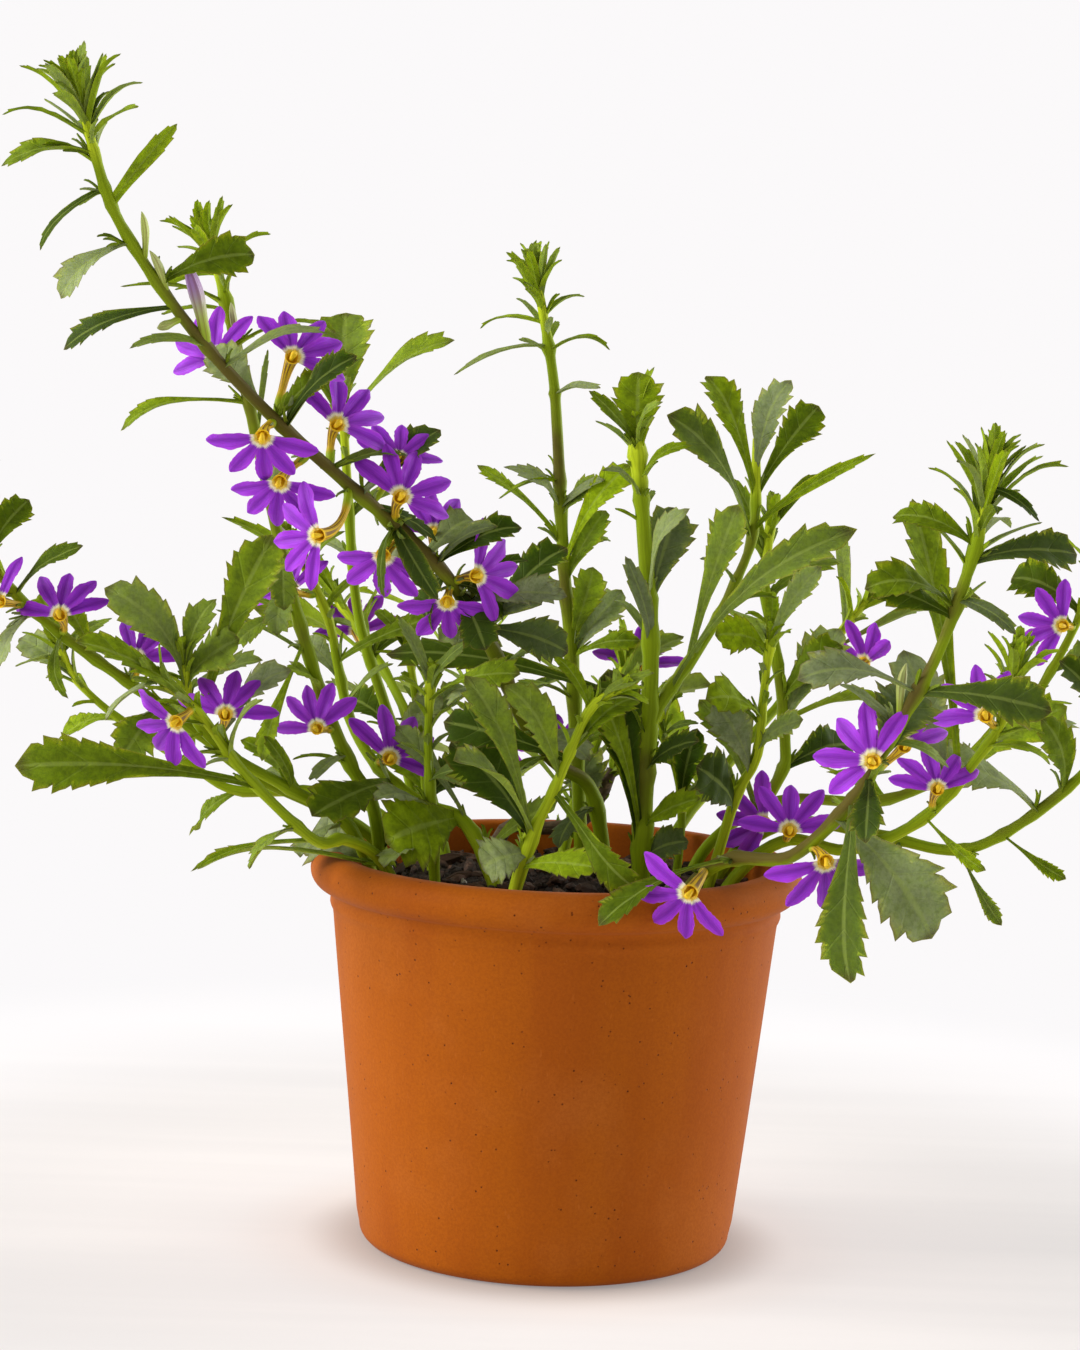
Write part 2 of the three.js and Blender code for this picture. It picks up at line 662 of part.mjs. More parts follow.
    leaves: [
      [0.3, [-26, 66, 138], 'large', 11, 5, 0],
      [0.45, [44, 74, 142], 'large', 12, 5, 0],
      [0.62, [-12, 92, 150], 'large', 12, 6, 0],
      [0.75, [46, 98, 160], 'large', 11, 5, 0],
      [0.88, [10, 110, 172], 'narrow', 8, 5, 0],
    ],
    blooms: [
      [0.66, [24, 84, 146], 170, 20, 90, 1],
      [0.4, [0, 64, 122], 195, 10, 120, 0.95],
    ],
  },
  {
    name: 'back_left',
    colour: 'green',
    facing: BACK_UP,
    route: [[-27, 24, 86], [-33, 37, 108], [-42, 57, 132], [-54, 74, 150], [-66, 88, 164]],
    radius: [1.7, 1.1],
    rosette: [4, 17],
    leaves: [
      [0.35, [-66, 66, 140], 'large', 12, 5, 0],
      [0.5, [-16, 84, 150], 'large', 11, 6, 0],
      [0.66, [-88, 92, 158], 'large', 12, 6, 0],
      [0.82, [-38, 112, 176], 'large', 11, 5, 0],
      [0.92, [-98, 88, 184], 'narrow', 8, 5, 0],
    ],
    blooms: [
      [0.7, [-58, 88, 152], 190, 20, 80, 1],
    ],
  },
  {
    name: 'back_right_far',
    colour: 'green',
    facing: BACK_UP,
    route: [[24, 28, 86], [34, 40, 106], [52, 62, 126], [70, 82, 144], [90, 100, 166]],
    radius: [1.8, 1.1],
    rosette: [4, 17],
    leaves: [
      [0.35, [20, 82, 142], 'large', 12, 5, 0],
      [0.5, [92, 66, 140], 'large', 11, 6, 0],
      [0.68, [52, 116, 160], 'large', 12, 6, 0],
      [0.82, [122, 94, 168], 'large', 11, 5, 0],
      [0.92, [84, 136, 184], 'narrow', 8, 5, 0],
    ],
    blooms: [
      [0.72, [84, 88, 146], 150, 15, 70, 1],
    ],
  },
  // A stem that trails over the back of the rim.
  {
    name: 'back_trailing',
    colour: 'green',
    facing: BACK_UP,
    route: [
      [-6, 38, 86], [-8, 49, 104], [-11, 63, 113], [-16, 92, 113], [-22, 118, 126],
      [-28, 136, 148],
    ],
    radius: [1.7, 1.0],
    rosette: [4, 18],
    leaves: [
      [0.35, [-44, 96, 118], 'large', 13, 5, 0],
      [0.45, [14, 106, 116], 'large', 12, 6, 0],
      [0.6, [-50, 128, 132], 'large', 12, 6, 0],
      [0.75, [6, 140, 136], 'large', 11, 5, 0],
      [0.85, [-56, 146, 158], 'narrow', 8, 5, 0],
      [0.9, [-2, 158, 160], 'narrow', 8, 5, 0],
    ],
    blooms: [
      [0.66, [-18, 124, 118], 180, -5, 265, 1],
    ],
  },
];

function vector([x, y, z]) {
  return new THREE.Vector3(x, y, z);
}

// Even draws between two limits, the same on every run for the same seed.
function seededDraw(seed) {
  let state = seed;
  return (low, high) => {
    state = (Math.imul(state, 1664525) + 1013904223) >>> 0;
    return low + (high - low) * (state / 4294967296);
  };
}

function solidFromFaces(points, faces) {
  return new wasm.Manifold(new wasm.Mesh({
    numProp: 3,
    vertProperties: new Float32Array(points.flatMap((point) => point.toArray())),
    triVerts: new Uint32Array(faces.flat()),
  }));
}

function solidFromGeometry(geometry) {
  geometry.deleteAttribute('normal');
  geometry.deleteAttribute('uv');
  const merged = mergeVertices(geometry, 1e-4);
  return new wasm.Manifold(new wasm.Mesh({
    numProp: 3,
    vertProperties: new Float32Array(merged.attributes.position.array),
    triVerts: new Uint32Array(merged.index.array),
  }));
}

function meshFromSolid(name, solid, material) {
  const { vertProperties, triVerts } = solid.getMesh();
  const geometry = new THREE.BufferGeometry();
  geometry.setAttribute('position', new THREE.BufferAttribute(vertProperties, 3));
  geometry.setIndex(new THREE.BufferAttribute(triVerts, 1));
  geometry.computeVertexNormals();
  const mesh = new THREE.Mesh(geometry, material);
  mesh.name = name;
  return mesh;
}

function obstacle(solid) {
  return { solid, box: solid.boundingBox() };
}

// Whether a solid overlaps any of the obstacles. Boxes that lie apart are passed over.
function meets(solid, others) {
  const box = solid.boundingBox();
  return others.some((other) => {
    const apart = [0, 1, 2].some(
      (axis) => box.min[axis] > other.box.max[axis] || box.max[axis] < other.box.min[axis],
    );
    return !apart && !other.solid.intersect(solid).isEmpty();
  });
}

// A vector made perpendicular to an axis, at length 1.
function squareTo(axis, direction) {
  return direction.clone().addScaledVector(axis, -direction.dot(axis)).normalize();
}

// A closed round bar through the given points, with its own radius at each of them.
function tubeSolid(points, radii, sides) {
  const rings = points.map((point, i) => {
    const ahead = points[Math.min(i + 1, points.length - 1)];
    const behind = points[Math.max(i - 1, 0)];
    return { point, tangent: ahead.clone().sub(behind).normalize() };
  });
  let across = squareTo(rings[0].tangent, new THREE.Vector3(1, 0.3, 0));
  const corners = [];
  rings.forEach(({ point, tangent }, i) => {
    across = squareTo(tangent, across);
    const upward = tangent.clone().cross(across);
    for (let side = 0; side < sides; side += 1) {
      const angle = (2 * Math.PI * side) / sides;
      corners.push(point.clone()
        .addScaledVector(across, radii[i] * Math.cos(angle))
        .addScaledVector(upward, radii[i] * Math.sin(angle)));
    }
  });
  const faces = [];
  for (let ring = 0; ring + 1 < rings.length; ring += 1) {
    for (let side = 0; side < sides; side += 1) {
      const next = (side + 1) % sides;
      const [a, b] = [ring * sides + side, ring * sides + next];
      faces.push([a, b, b + sides], [a, b + sides, a + sides]);
    }
  }
  const last = (rings.length - 1) * sides;
  for (let side = 1; side + 1 < sides; side += 1) {
    faces.push([0, side + 1, side], [last, last + side, last + side + 1]);
  }
  return solidFromFaces(corners, faces);
}

// The pot's outer wall, which widens evenly from the foot to the rim band.
function wallRadius(height) {
  return FOOT_RADIUS + ((BODY_RADIUS - FOOT_RADIUS) * height) / (POT_HEIGHT - RIM_BAND);
}

function innerRadius(height) {
  return wallRadius(height) - POT_WALL;
}

// The pot's section: the floor, the rounded foot, the cove, the rolled rim and the inside.
function potProfile() {
  const roll = RIM_BAND / 2;
  const foot = FOOT_TURNS.map(THREE.MathUtils.degToRad).map((angle) => [
    FOOT_RADIUS - FOOT_ROUNDING * (1 - Math.sin(angle)),
    FOOT_ROUNDING * (1 - Math.cos(angle)),
  ]);
  const rim = ROLL_TURNS.map(THREE.MathUtils.degToRad).map((angle) => [
    RIM_RADIUS - roll * (1 - Math.cos(angle)),
    POT_HEIGHT - roll * (1 - Math.sin(angle)),
  ]);
  return [
    [0, 0],
    ...foot,
    [BODY_RADIUS, POT_HEIGHT - RIM_BAND - COVE_HEIGHT],
    ...rim,
    [innerRadius(POT_HEIGHT) + LIP_WIDTH, POT_HEIGHT],
    [innerRadius(POT_HEIGHT - LIP_DEPTH), POT_HEIGHT - LIP_DEPTH],
    [innerRadius(POT_FLOOR), POT_FLOOR],
    [0, POT_FLOOR],
  ].map(([radius, height]) => new THREE.Vector2(radius, height));
}

function potSolid() {
  const geometry = new THREE.LatheGeometry(potProfile(), POT_SEGMENTS);
  geometry.rotateX(Math.PI / 2);
  let pot = solidFromGeometry(geometry);
  for (let hole = 0; hole < DRAIN_HOLES; hole += 1) {
    const angle = THREE.MathUtils.degToRad(DRAIN_FIRST_TURN + (360 * hole) / DRAIN_HOLES);
    const drill = new THREE.CylinderGeometry(DRAIN_RADIUS, DRAIN_RADIUS, 3 * POT_FLOOR, DRAIN_SIDES);
    drill.rotateX(Math.PI / 2);
    drill.translate(DRAIN_CIRCLE * Math.cos(angle), DRAIN_CIRCLE * Math.sin(angle), 0);
    pot = pot.subtract(solidFromGeometry(drill));
  }
  return pot;
}

function soilHeight(x, y) {
  const wave = Math.sin(SOIL_WAVE_ACROSS * x + SOIL_WAVE_START) * Math.cos(SOIL_WAVE_BACK * y);
  return SOIL_TOP + SOIL_WAVE * wave - SOIL_SAG * (x * x + y * y);
}

// The soil before the stems' holes are cut. Its sides stand clear of the pot's wall.
function soilSolid() {
  const draw = seededDraw(SOIL_SEED);
  const bottom = POT_FLOOR + CLEARANCE;
  const edge = (height) => innerRadius(height) - CLEARANCE / Math.cos(Math.PI / POT_SEGMENTS);
  const around = (radius, heightAt) => {
    for (let segment = 0; segment < POT_SEGMENTS; segment += 1) {
      const angle = (2 * Math.PI * segment) / POT_SEGMENTS;
      const [x, y] = [radius * Math.sin(angle), radius * Math.cos(angle)];
      points.push(new THREE.Vector3(x, y, heightAt(x, y)));
    }
  };
  const points = [new THREE.Vector3(0, 0, soilHeight(0, 0)), new THREE.Vector3(0, 0, bottom)];
  const topRadius = edge(SOIL_TOP - SOIL_EDGE_DROP);
  for (let ring = 1; ring < SOIL_RINGS; ring += 1) {
    around(
      (topRadius * ring) / SOIL_RINGS,
      (x, y) => soilHeight(x, y) + draw(-SOIL_ROUGHNESS, SOIL_ROUGHNESS),
    );
  }
  around(topRadius, soilHeight);
  around(edge(bottom), () => bottom);

  const faces = [];
  const lowest = 2 + SOIL_RINGS * POT_SEGMENTS;
  for (let segment = 0; segment < POT_SEGMENTS; segment += 1) {
    const next = (segment + 1) % POT_SEGMENTS;
    faces.push([0, 2 + next, 2 + segment]);
    for (let ring = 0; ring < SOIL_RINGS; ring += 1) {
      const [a, b] = [segment, next].map((place) => 2 + ring * POT_SEGMENTS + place);
      faces.push([a, b, b + POT_SEGMENTS], [a, b + POT_SEGMENTS, a + POT_SEGMENTS]);
    }
    faces.push([1, lowest + segment, lowest + next]);
  }
  return solidFromFaces(points, faces);
}

function stemCurve(route) {
  return new THREE.CatmullRomCurve3(route.map(vector), false, 'catmullrom', CURVE_TENSION);
}

function stemRadius({ radius }, t) {
  return radius[0] + (radius[1] - radius[0]) * t;
}

function caneSteps(curve) {
  return Math.max(FEWEST_STEPS, Math.round(curve.getLength() / STEM_STEP));
}

// A point on the axis of the bare cane, which runs straight between its rings.
function canePoint(curve, t) {
  const steps = caneSteps(curve);
  const step = Math.min(Math.floor(t * steps), steps - 1);
  const start = curve.getPoint(step / steps);
  return start.lerp(curve.getPoint((step + 1) / steps), t * steps - step);
}

// The bare cane along a route.
function caneSolid({ route, radius }) {
  const curve = stemCurve(route);
  const steps = caneSteps(curve);
  const places = Array.from({ length: steps + 1 }, (_, i) => i / steps);
  const radii = places.map((t) => stemRadius({ radius }, t));
  return tubeSolid(places.map((t) => curve.getPoint(t)), radii, STEM_SIDES);
}

// A plain hole for a stem's foot: the foot's own stretch, a little wider and deeper.
function footHole({ route, radius }) {
  const curve = stemCurve(route);
  const places = [0, 1 / caneSteps(curve)];
  const points = places.map((t) => curve.getPoint(t));
  const downward = points[0].clone().sub(points[1]).normalize();
  points[0].addScaledVector(downward, HOLE_GAP);
  return tubeSolid(points, places.map((t) => stemRadius({ radius }, t) + HOLE_GAP), STEM_SIDES);
}

function halfWidth(kind, width, place) {
  const { petiole, fullest } = LEAF_KINDS[kind];
  const stalk = petiole * (1 - place);
  const swell = Math.sin(Math.PI * place ** fullest) ** SWELL_SHARPNESS;
  return (width / 2) * (stalk + (1 - stalk) * swell);
}

// The outline of one side of a blade: each corner's place, and how far it stands out as a
// share of the half width there.
function outlineCorners({ teeth }) {
  if (teeth === 0) {
    return [{ place: PLAIN_CORNER, reach: 1 }];
  }
  const step = (TEETH_TO - TEETH_FROM) / teeth;
  const corners = [{ place: TEETH_FROM, reach: 1 }];
  for (let tooth = 0; tooth < teeth; tooth += 1) {
    const start = TEETH_FROM + tooth * step;
    corners.push({ place: start + TOOTH_LEAN * step, reach: TOOTH_REACH });
    corners.push({ place: start + step, reach: NOTCH_DEPTH });
  }
  return corners;
}

// The triangles between a midrib and an outline that share their two ends.
function stripFaces(rib, edge) {
  const faces = [];
  let [i, j] = [0, 0];
  while (i + 1 < rib.length || j + 1 < edge.length) {
    const edgeIsNext = i + 1 === rib.length
      || (j + 1 < edge.length && edge[j + 1].place <= rib[i + 1].place);
    const corners = edgeIsNext ? [rib[i], edge[j], edge[j + 1]] : [rib[i], edge[j], rib[i + 1]];
    const face = corners.map(({ index }) => index);
    if (new Set(face).size === 3) {
      faces.push(face);
    }
    if (edgeIsNext) {
      j += 1;
    } else {
      i += 1;
    }
  }
  return faces;
}

// One toothed blade from its root inside the stem to its tip. Both faces share the outline
// and are split into triangles alike. The blade is thicker all round by the extra amount.
function leafSolid({ root, tip, sink, kind, width, arch, roll, facing }, extra = 0) {
  const chord = tip.clone().sub(root);
  const along = chord.clone().normalize();
  const up = squareTo(along, vector(facing)).applyAxisAngle(along, THREE.MathUtils.degToRad(roll));
  const side = along.clone().cross(up);
  const bend = root.clone().addScaledVector(chord, ARCH_PLACE).addScaledVector(up, arch);
  const rib = new THREE.QuadraticBezierCurve3(root, bend, tip);
  const normalAt = (place) => squareTo(rib.getTangent(place), up);
  const ribCorner = (sign) => ({ place }) => {
    const half = (RIB_THICKNESS + (TIP_THICKNESS - RIB_THICKNESS) * place) / 2 + extra;
    return rib.getPoint(place).addScaledVector(normalAt(place), sign * half);
  };
  const edgeCorner = (sign) => ({ place, reach }) => {
    const outline = halfWidth(kind, width, place) * reach + extra;
    return rib.getPoint(place)
      .addScaledVector(side, sign * outline)
      .addScaledVector(normalAt(place), GUTTER * outline);
  };

  const points = [
    root.clone().addScaledVector(along, -sink),
    tip.clone().addScaledVector(along, extra),
  ];
  const chain = (corners, locate) => {
    const middle = corners.map((corner) => {
      points.push(locate(corner));
      return { index: points.length - 1, place: corner.place };
    });
    return [{ index: 0, place: 0 }, ...middle, { index: 1, place: 1 }];
  };
  const ribPlaces = LEAF_KINDS[kind].rib.map((place) => ({ place }));
  const outline = outlineCorners(LEAF_KINDS[kind]);
  const top = chain(ribPlaces, ribCorner(1));
  const under = chain(ribPlaces, ribCorner(-1));
  const right = chain(outline, edgeCorner(1));
  const left = chain(outline, edgeCorner(-1));
  return solidFromFaces(points, [
    ...stripFaces(top, right),
    ...stripFaces(under, left),
    ...stripFaces(top, left).map(([a, b, c]) => [a, c, b]),
    ...stripFaces(under, right).map(([a, b, c]) => [a, c, b]),
  ]);
}

function bentLeaf(leaf, { length, back, up }) {
  const tip = leaf.root.clone()
    .addScaledVector(leaf.tip.clone().sub(leaf.root), length)
    .add(new THREE.Vector3(0, back, up));
  return { ...leaf, tip };
}

// The leaves that are listed for a stem and for its branch.
function listedLeaves(stem) {
  return [stem, ...(stem.branch ? [stem.branch] : [])].flatMap(({ route, leaves }) => {
    const curve = stemCurve(route);
    return leaves.map(([t, tip, kind, width, arch, roll]) => ({
      root: canePoint(curve, t),
      tip: vector(tip),
      sink: ROOT_SINK * stemRadius(stem, t),
      kind,
      width,
      arch,
      roll,
      facing: stem.facing,
    }));
  });
}

// The small leaves round a stem's tip, turned from one another by a fixed angle.
function rosetteLeaves(stem, seed) {
  const [count, longest] = stem.rosette;
  const draw = seededDraw(seed);
  const curve = stemCurve(stem.route);
  const tangent = curve.getTangent(1);
  const across = squareTo(tangent, vector(stem.facing));
  const innerShare = ROSETTE_INNER_SHARE;
  return Array.from({ length: count }, (_, i) => {
    const outer = i / count;
    const t = 1 - (ROSETTE_FIRST + ROSETTE_STEP * i) / curve.getLength();
    const turn = ROSETTE_TURN * i + draw(-ROSETTE_TURN_DRAW, ROSETTE_TURN_DRAW);
    const openingDraw = draw(-ROSETTE_OPENING_DRAW, ROSETTE_OPENING_DRAW);
    const opening = THREE.MathUtils.degToRad(ROSETTE_OPENING + ROSETTE_OPENED * outer + openingDraw);
    const reach = longest * (innerShare + (1 - innerShare) * outer) * draw(...ROSETTE_REACH_DRAW);
    const outward = across.clone().applyAxisAngle(tangent, THREE.MathUtils.degToRad(turn));
    const root = canePoint(curve, t);
    const tip = root.clone()
      .addScaledVector(tangent, reach * Math.cos(opening))
      .addScaledVector(outward, reach * Math.sin(opening));
    return {
      root,
      tip,
      sink: ROOT_SINK * stemRadius(stem, t),
      kind: 'young',
      width: ROSETTE_WIDTH,
      arch: ROSETTE_ARCH * reach,
      roll: 0,
      facing: tangent.toArray(),
    };
  });
}

// The directions of a bloom: where it faces, and its fan's own right and upward axes.
function bloomAxes({ turn, lift }) {
  const sideways = THREE.MathUtils.degToRad(turn);
  const upwards = THREE.MathUtils.degToRad(lift);
  const face = new THREE.Vector3(
    Math.sin(sideways) * Math.cos(upwards),
    -Math.cos(sideways) * Math.cos(upwards),
    Math.sin(upwards),
  );
  const right = new THREE.Vector3(0, 0, 1).cross(face).normalize();
  const upward = face.clone().cross(right);
  return { face, right, upward };
}

// How points are set out on a bloom: a direction on its fan, a point at a reach from the
// throat, and how far the petals stand back there.
function bloomFrame(bloom) {
  const { throat, spin, size } = bloom;
  const { face, right, upward } = bloomAxes(bloom);
  const direction = (degrees) => {
    const angle = THREE.MathUtils.degToRad(spin + degrees);
    return right.clone().multiplyScalar(Math.cos(angle)).addScaledVector(upward, Math.sin(angle));
  };
  const place = (degrees, reach, forward) => throat.clone()
    .addScaledVector(direction(degrees), reach)
    .addScaledVector(face, forward);
  const flare = (reach, lean) => (lean - PETAL_FLARE) * size * (reach / PETAL_LENGTH) ** 2;
  return { face, direction, place, flare };
}

// The sheet of five petals, whose two faces share their outline. It is added to the lists,
// and the corners of its underside are given back with their turns round the throat.
function addPetals({ size, seed }, { place, flare }, extra, points, faces) {
  const draw = seededDraw(seed);
  const half = PETAL_THICKNESS / 2 + extra;
  const edge = -(PETALS * PETAL_SPREAD) / 2;
  const split = (degrees) => place(degrees, PETAL_SPLIT * size + extra, flare(PETAL_SPLIT, 0));
  const [centre, back, start] = [0, 1, 2];
  points.push(place(0, 0, THROAT_DOME + extra), place(180, THROAT_BACK * size + extra, 0), split(edge));
  const hem = [{ degrees: edge, index: start }];
  for (let petal = 0; petal < PETALS; petal += 1) {
    const middle = edge + (petal + 0.5) * PETAL_SPREAD;
    const lean = draw(-PETAL_LEAN, PETAL_LEAN);
    const length = PETAL_LENGTH * draw(...PETAL_SHARES);
    const shoulder = (degrees) => place(
      middle + degrees,
      PETAL_SHOULDER * size + extra,
      flare(PETAL_SHOULDER, lean),
    );
    const ridge = (thickness) => place(
      middle,
      PETAL_MIDDLE * size,
      flare(PETAL_MIDDLE, lean) + thickness,
    );
    const before = hem.at(-1).index;
    const [low, tip, high, top, under, after] = [0, 1, 2, 3, 4, 5].map((i) => points.length + i);
    points.push(
      shoulder(-SHOULDER_ANGLE),
      place(middle, length * size + extra, flare(length, lean)),
      shoulder(SHOULDER_ANGLE),
      ridge(half),
      ridge(-half),
      split(middle + PETAL_SPREAD / 2),
    );
    const rim = [before, low, tip, high, after];
    rim.slice(1).forEach((corner, i) => {
      faces.push([rim[i], corner, top], [corner, rim[i], under]);
    });
    faces.push([centre, before, top], [centre, top, after]);
    hem.push({ degrees: middle, index: under });
    hem.push({ degrees: middle + PETAL_SPREAD / 2, index: after });
  }
  faces.push([centre, hem.at(-1).index, back], [centre, back, start]);
  hem.push({ degrees: 180, index: back });
  return hem;
}

// The line that a bloom's tube follows, from a point beside the stem to the throat.
function tubeLine({ stem, t, throat }, face) {
  const curve = stemCurve(stem.route);
  const axis = canePoint(curve, t);
  const bend = throat.clone().addScaledVector(face, -TUBE_BEND * throat.distanceTo(axis));
  const away = squareTo(curve.getTangent(t), bend.clone().sub(axis));
  const start = axis.addScaledVector(away, stemRadius(stem, t) + TUBE_ROOT_GAP);
  return new THREE.QuadraticBezierCurve3(start, bend, throat);
}

// The tube, which narrows to a point beside the stem. It is added to the lists, and the
// index of its first corner under the throat is given back.
function addTube(bloom, { face, direction, place }, extra, points, faces) {
  const line = tubeLine(bloom, face);
  const throatRing = {
    point: place(0, 0, -TUBE_DEPTH - extra),
    along: face,
    radius: THROAT_RADIUS * bloom.size,
  };
  const lowerRings = TUBE_RINGS.map((ring) => ({
    point: line.getPoint(ring.place),
    along: line.getTangent(ring.place),
    radius: TUBE_RADIUS * ring.share,
  }));
  const rings = [throatRing, ...lowerRings];
  const sides = TUBE_TURNS.length;
  const first = points.length;
  rings.forEach(({ point, along, radius }) => {
    const swing = new THREE.Quaternion().setFromUnitVectors(face, along);
    TUBE_TURNS.forEach((degrees) => {
      const outward = direction(degrees).applyQuaternion(swing);
      points.push(point.clone().addScaledVector(outward, radius + extra));
    });
  });
  const root = points.length;
  const last = root - sides;
  points.push(line.getPoint(0));
  for (let side = 0; side < sides; side += 1) {
    const next = (side + 1) % sides;
    for (let ring = 0; ring + 1 < rings.length; ring += 1) {
      const [a, b] = [first + ring * sides + side, first + ring * sides + next];
      faces.push([a, a + sides, b], [b, a + sides, b + sides]);
    }
    faces.push([root, last + next, last + side]);
  }
  return first;
}

// The sheet's underside is sewn to the top ring of the tube, corner by corner.
function sewTogether(hem, first, faces) {
  const quarter = 360 / TUBE_TURNS.length;
  const nearest = (i) => {
    const start = hem[i % hem.length].degrees;
    const end = hem[(i + 1) % hem.length].degrees;
    const middle = (start + (end > start ? end : end + 360)) / 2;
    return first + Math.floor(((middle + 180) % 360) / quarter);
  };
  hem.forEach(({ index }, i) => {
    const next = hem[(i + 1) % hem.length];
    faces.push([nearest(i), next.index, index]);
    if (nearest(i + 1) !== nearest(i)) {
      faces.push([nearest(i), nearest(i + 1), next.index]);
    }
  });
}

// One bloom: a sheet of five petals, and the tube that widens from the stem to the throat.
function bloomSolid(bloom, extra = 0) {
  const frame = bloomFrame(bloom);
  const points = [];
  const faces = [];
  const hem = addPetals(bloom, frame, extra, points, faces);
  const first = addTube(bloom, frame, extra, points, faces);
  sewTogether(hem, first, faces);
  return solidFromFaces(points, faces);
}

function finish(color, roughness) {
  return new THREE.MeshStandardMaterial({ color, roughness, metalness: 0 });
}

const TERRACOTTA = finish(0xb5673a, 0.85);
const EARTH = finish(0x3b2a20, 0.95);
const STEM_FINISHES = { green: finish(0x74803a, 0.55), brown: finish(0x6a5238, 0.55) };
const VIOLET = finish(0x7d2fc0, 0.6);

const plant = new THREE.Group();
const pot = potSolid();
const soil = STEMS.reduce((earth, stem) => earth.subtract(footHole(stem)), soilSolid());
plant.add(meshFromSolid('pot', pot, TERRACOTTA));
plant.add(meshFromSolid('soil', soil, EARTH));

// The canes stand first, then the blooms are set on them, then the leaves find room.
STEMS.forEach((stem) => {
  stem.cane = caneSolid(stem);
  if (stem.branch) {
    stem.cane = stem.cane.add(caneSolid(stem.branch));
  }
  stem.shoots = [];
});

const blooms = [];
const ground = [pot, soil].map(obstacle);

// A bloom takes the first shift that keeps it off its neighbours and its own stem.
function setBloom(bloom) {
  const canes = STEMS.filter((other) => other !== bloom.stem).map(({ cane }) => obstacle(cane));
  const others = [...ground, ...canes, ...blooms];
  const shift = BLOOM_SHIFTS.find((step) => {
    const shifted = { ...bloom, throat: bloom.throat.clone().add(vector(step)) };
    return !meets(bloomSolid(shifted, CLEARANCE), others)
      && !meets(bloomSolid(shifted), [obstacle(bloom.stem.cane)]);
  });
  if (shift) {
    bloom.throat.add(vector(shift));
    blooms.push(obstacle(bloomSolid(bloom)));
  }
}

// A leaf takes the first bend that is clear of its neighbours and, where there is one, of
// its own stem's other leaves.
function growLeaf(stem, leaf) {
  const neighbours = STEMS.filter((other) => other !== stem)
    .flatMap(({ cane, shoots }) => [obstacle(cane), ...shoots]);
  const others = [...ground, ...blooms, ...neighbours];
  const clear = LEAF_BENDS.map((bend) => bentLeaf(leaf, bend))
    .filter((bent) => !meets(leafSolid(bent, CLEARANCE), others));
  const chosen = clear.find((bent) => !meets(leafSolid(bent), stem.shoots)) ?? clear[0];
  if (chosen) {
    stem.shoots.push(obstacle(leafSolid(chosen)));
  }
}

STEMS.forEach((stem) => stem.blooms.forEach(([t, throat, turn, lift, spin, size]) => {
  const seed = BLOOM_SEED + blooms.length;
  setBloom({ stem, t, throat: vector(throat), turn, lift, spin, size, seed });
}));
STEMS.forEach((stem) => listedLeaves(stem).forEach((leaf) => growLeaf(stem, leaf)));
STEMS.forEach((stem, i) => {
  rosetteLeaves(stem, ROSETTE_SEED + i).forEach((leaf) => growLeaf(stem, leaf));
});

STEMS.forEach((stem) => {
  const leafy = stem.shoots.reduce((joined, { solid }) => joined.add(solid), stem.cane);
  plant.add(meshFromSolid(`stem_${stem.name}`, leafy, STEM_FINISHES[stem.colour]));
});
blooms.forEach(({ solid }, i) => {
  plant.add(meshFromSolid(`bloom_${String(i + 1).padStart(2, '0')}`, solid, VIOLET));
});

export default plant;
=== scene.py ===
"""A fan flower in a terracotta pot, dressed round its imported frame.

The shape tables are in millimetres and repeat the frame's own source: +X is right, +Y is towards
the back and +Z is up, with the origin at the middle of the pot's foot. Each leafy stem and each
flower stands where the frame has it, and is made finer there.
"""

import math

import bpy
import numpy as np
from mathutils import Matrix, Vector, kdtree


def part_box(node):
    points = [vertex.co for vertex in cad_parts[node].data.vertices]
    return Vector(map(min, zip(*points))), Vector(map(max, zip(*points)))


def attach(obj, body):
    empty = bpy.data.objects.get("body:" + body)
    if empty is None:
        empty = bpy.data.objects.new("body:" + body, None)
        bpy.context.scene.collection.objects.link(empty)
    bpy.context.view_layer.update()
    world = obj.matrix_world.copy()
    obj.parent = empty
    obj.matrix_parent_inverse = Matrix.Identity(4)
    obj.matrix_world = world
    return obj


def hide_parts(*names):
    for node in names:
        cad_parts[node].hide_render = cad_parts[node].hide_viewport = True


bl_info = {
    "name": "Potted Fan Flower",
    "version": (1, 0, 0),
    "blender": (4, 5, 0),
    "location": "3D View > Sidebar > Fan Flower",
    "description": "Makes a fan flower in a terracotta pot round its packed frame",
    "category": "Add Mesh",
}

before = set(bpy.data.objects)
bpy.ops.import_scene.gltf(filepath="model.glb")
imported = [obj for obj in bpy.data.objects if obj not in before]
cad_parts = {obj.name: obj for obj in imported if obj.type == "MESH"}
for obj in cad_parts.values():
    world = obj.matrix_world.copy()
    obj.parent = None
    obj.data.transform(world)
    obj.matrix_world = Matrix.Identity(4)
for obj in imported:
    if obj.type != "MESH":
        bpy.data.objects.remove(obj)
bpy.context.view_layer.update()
POT_LOW, POT_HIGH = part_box("pot")

MM = 0.001
UPWARD = np.array([0.0, 0.0, 1.0])

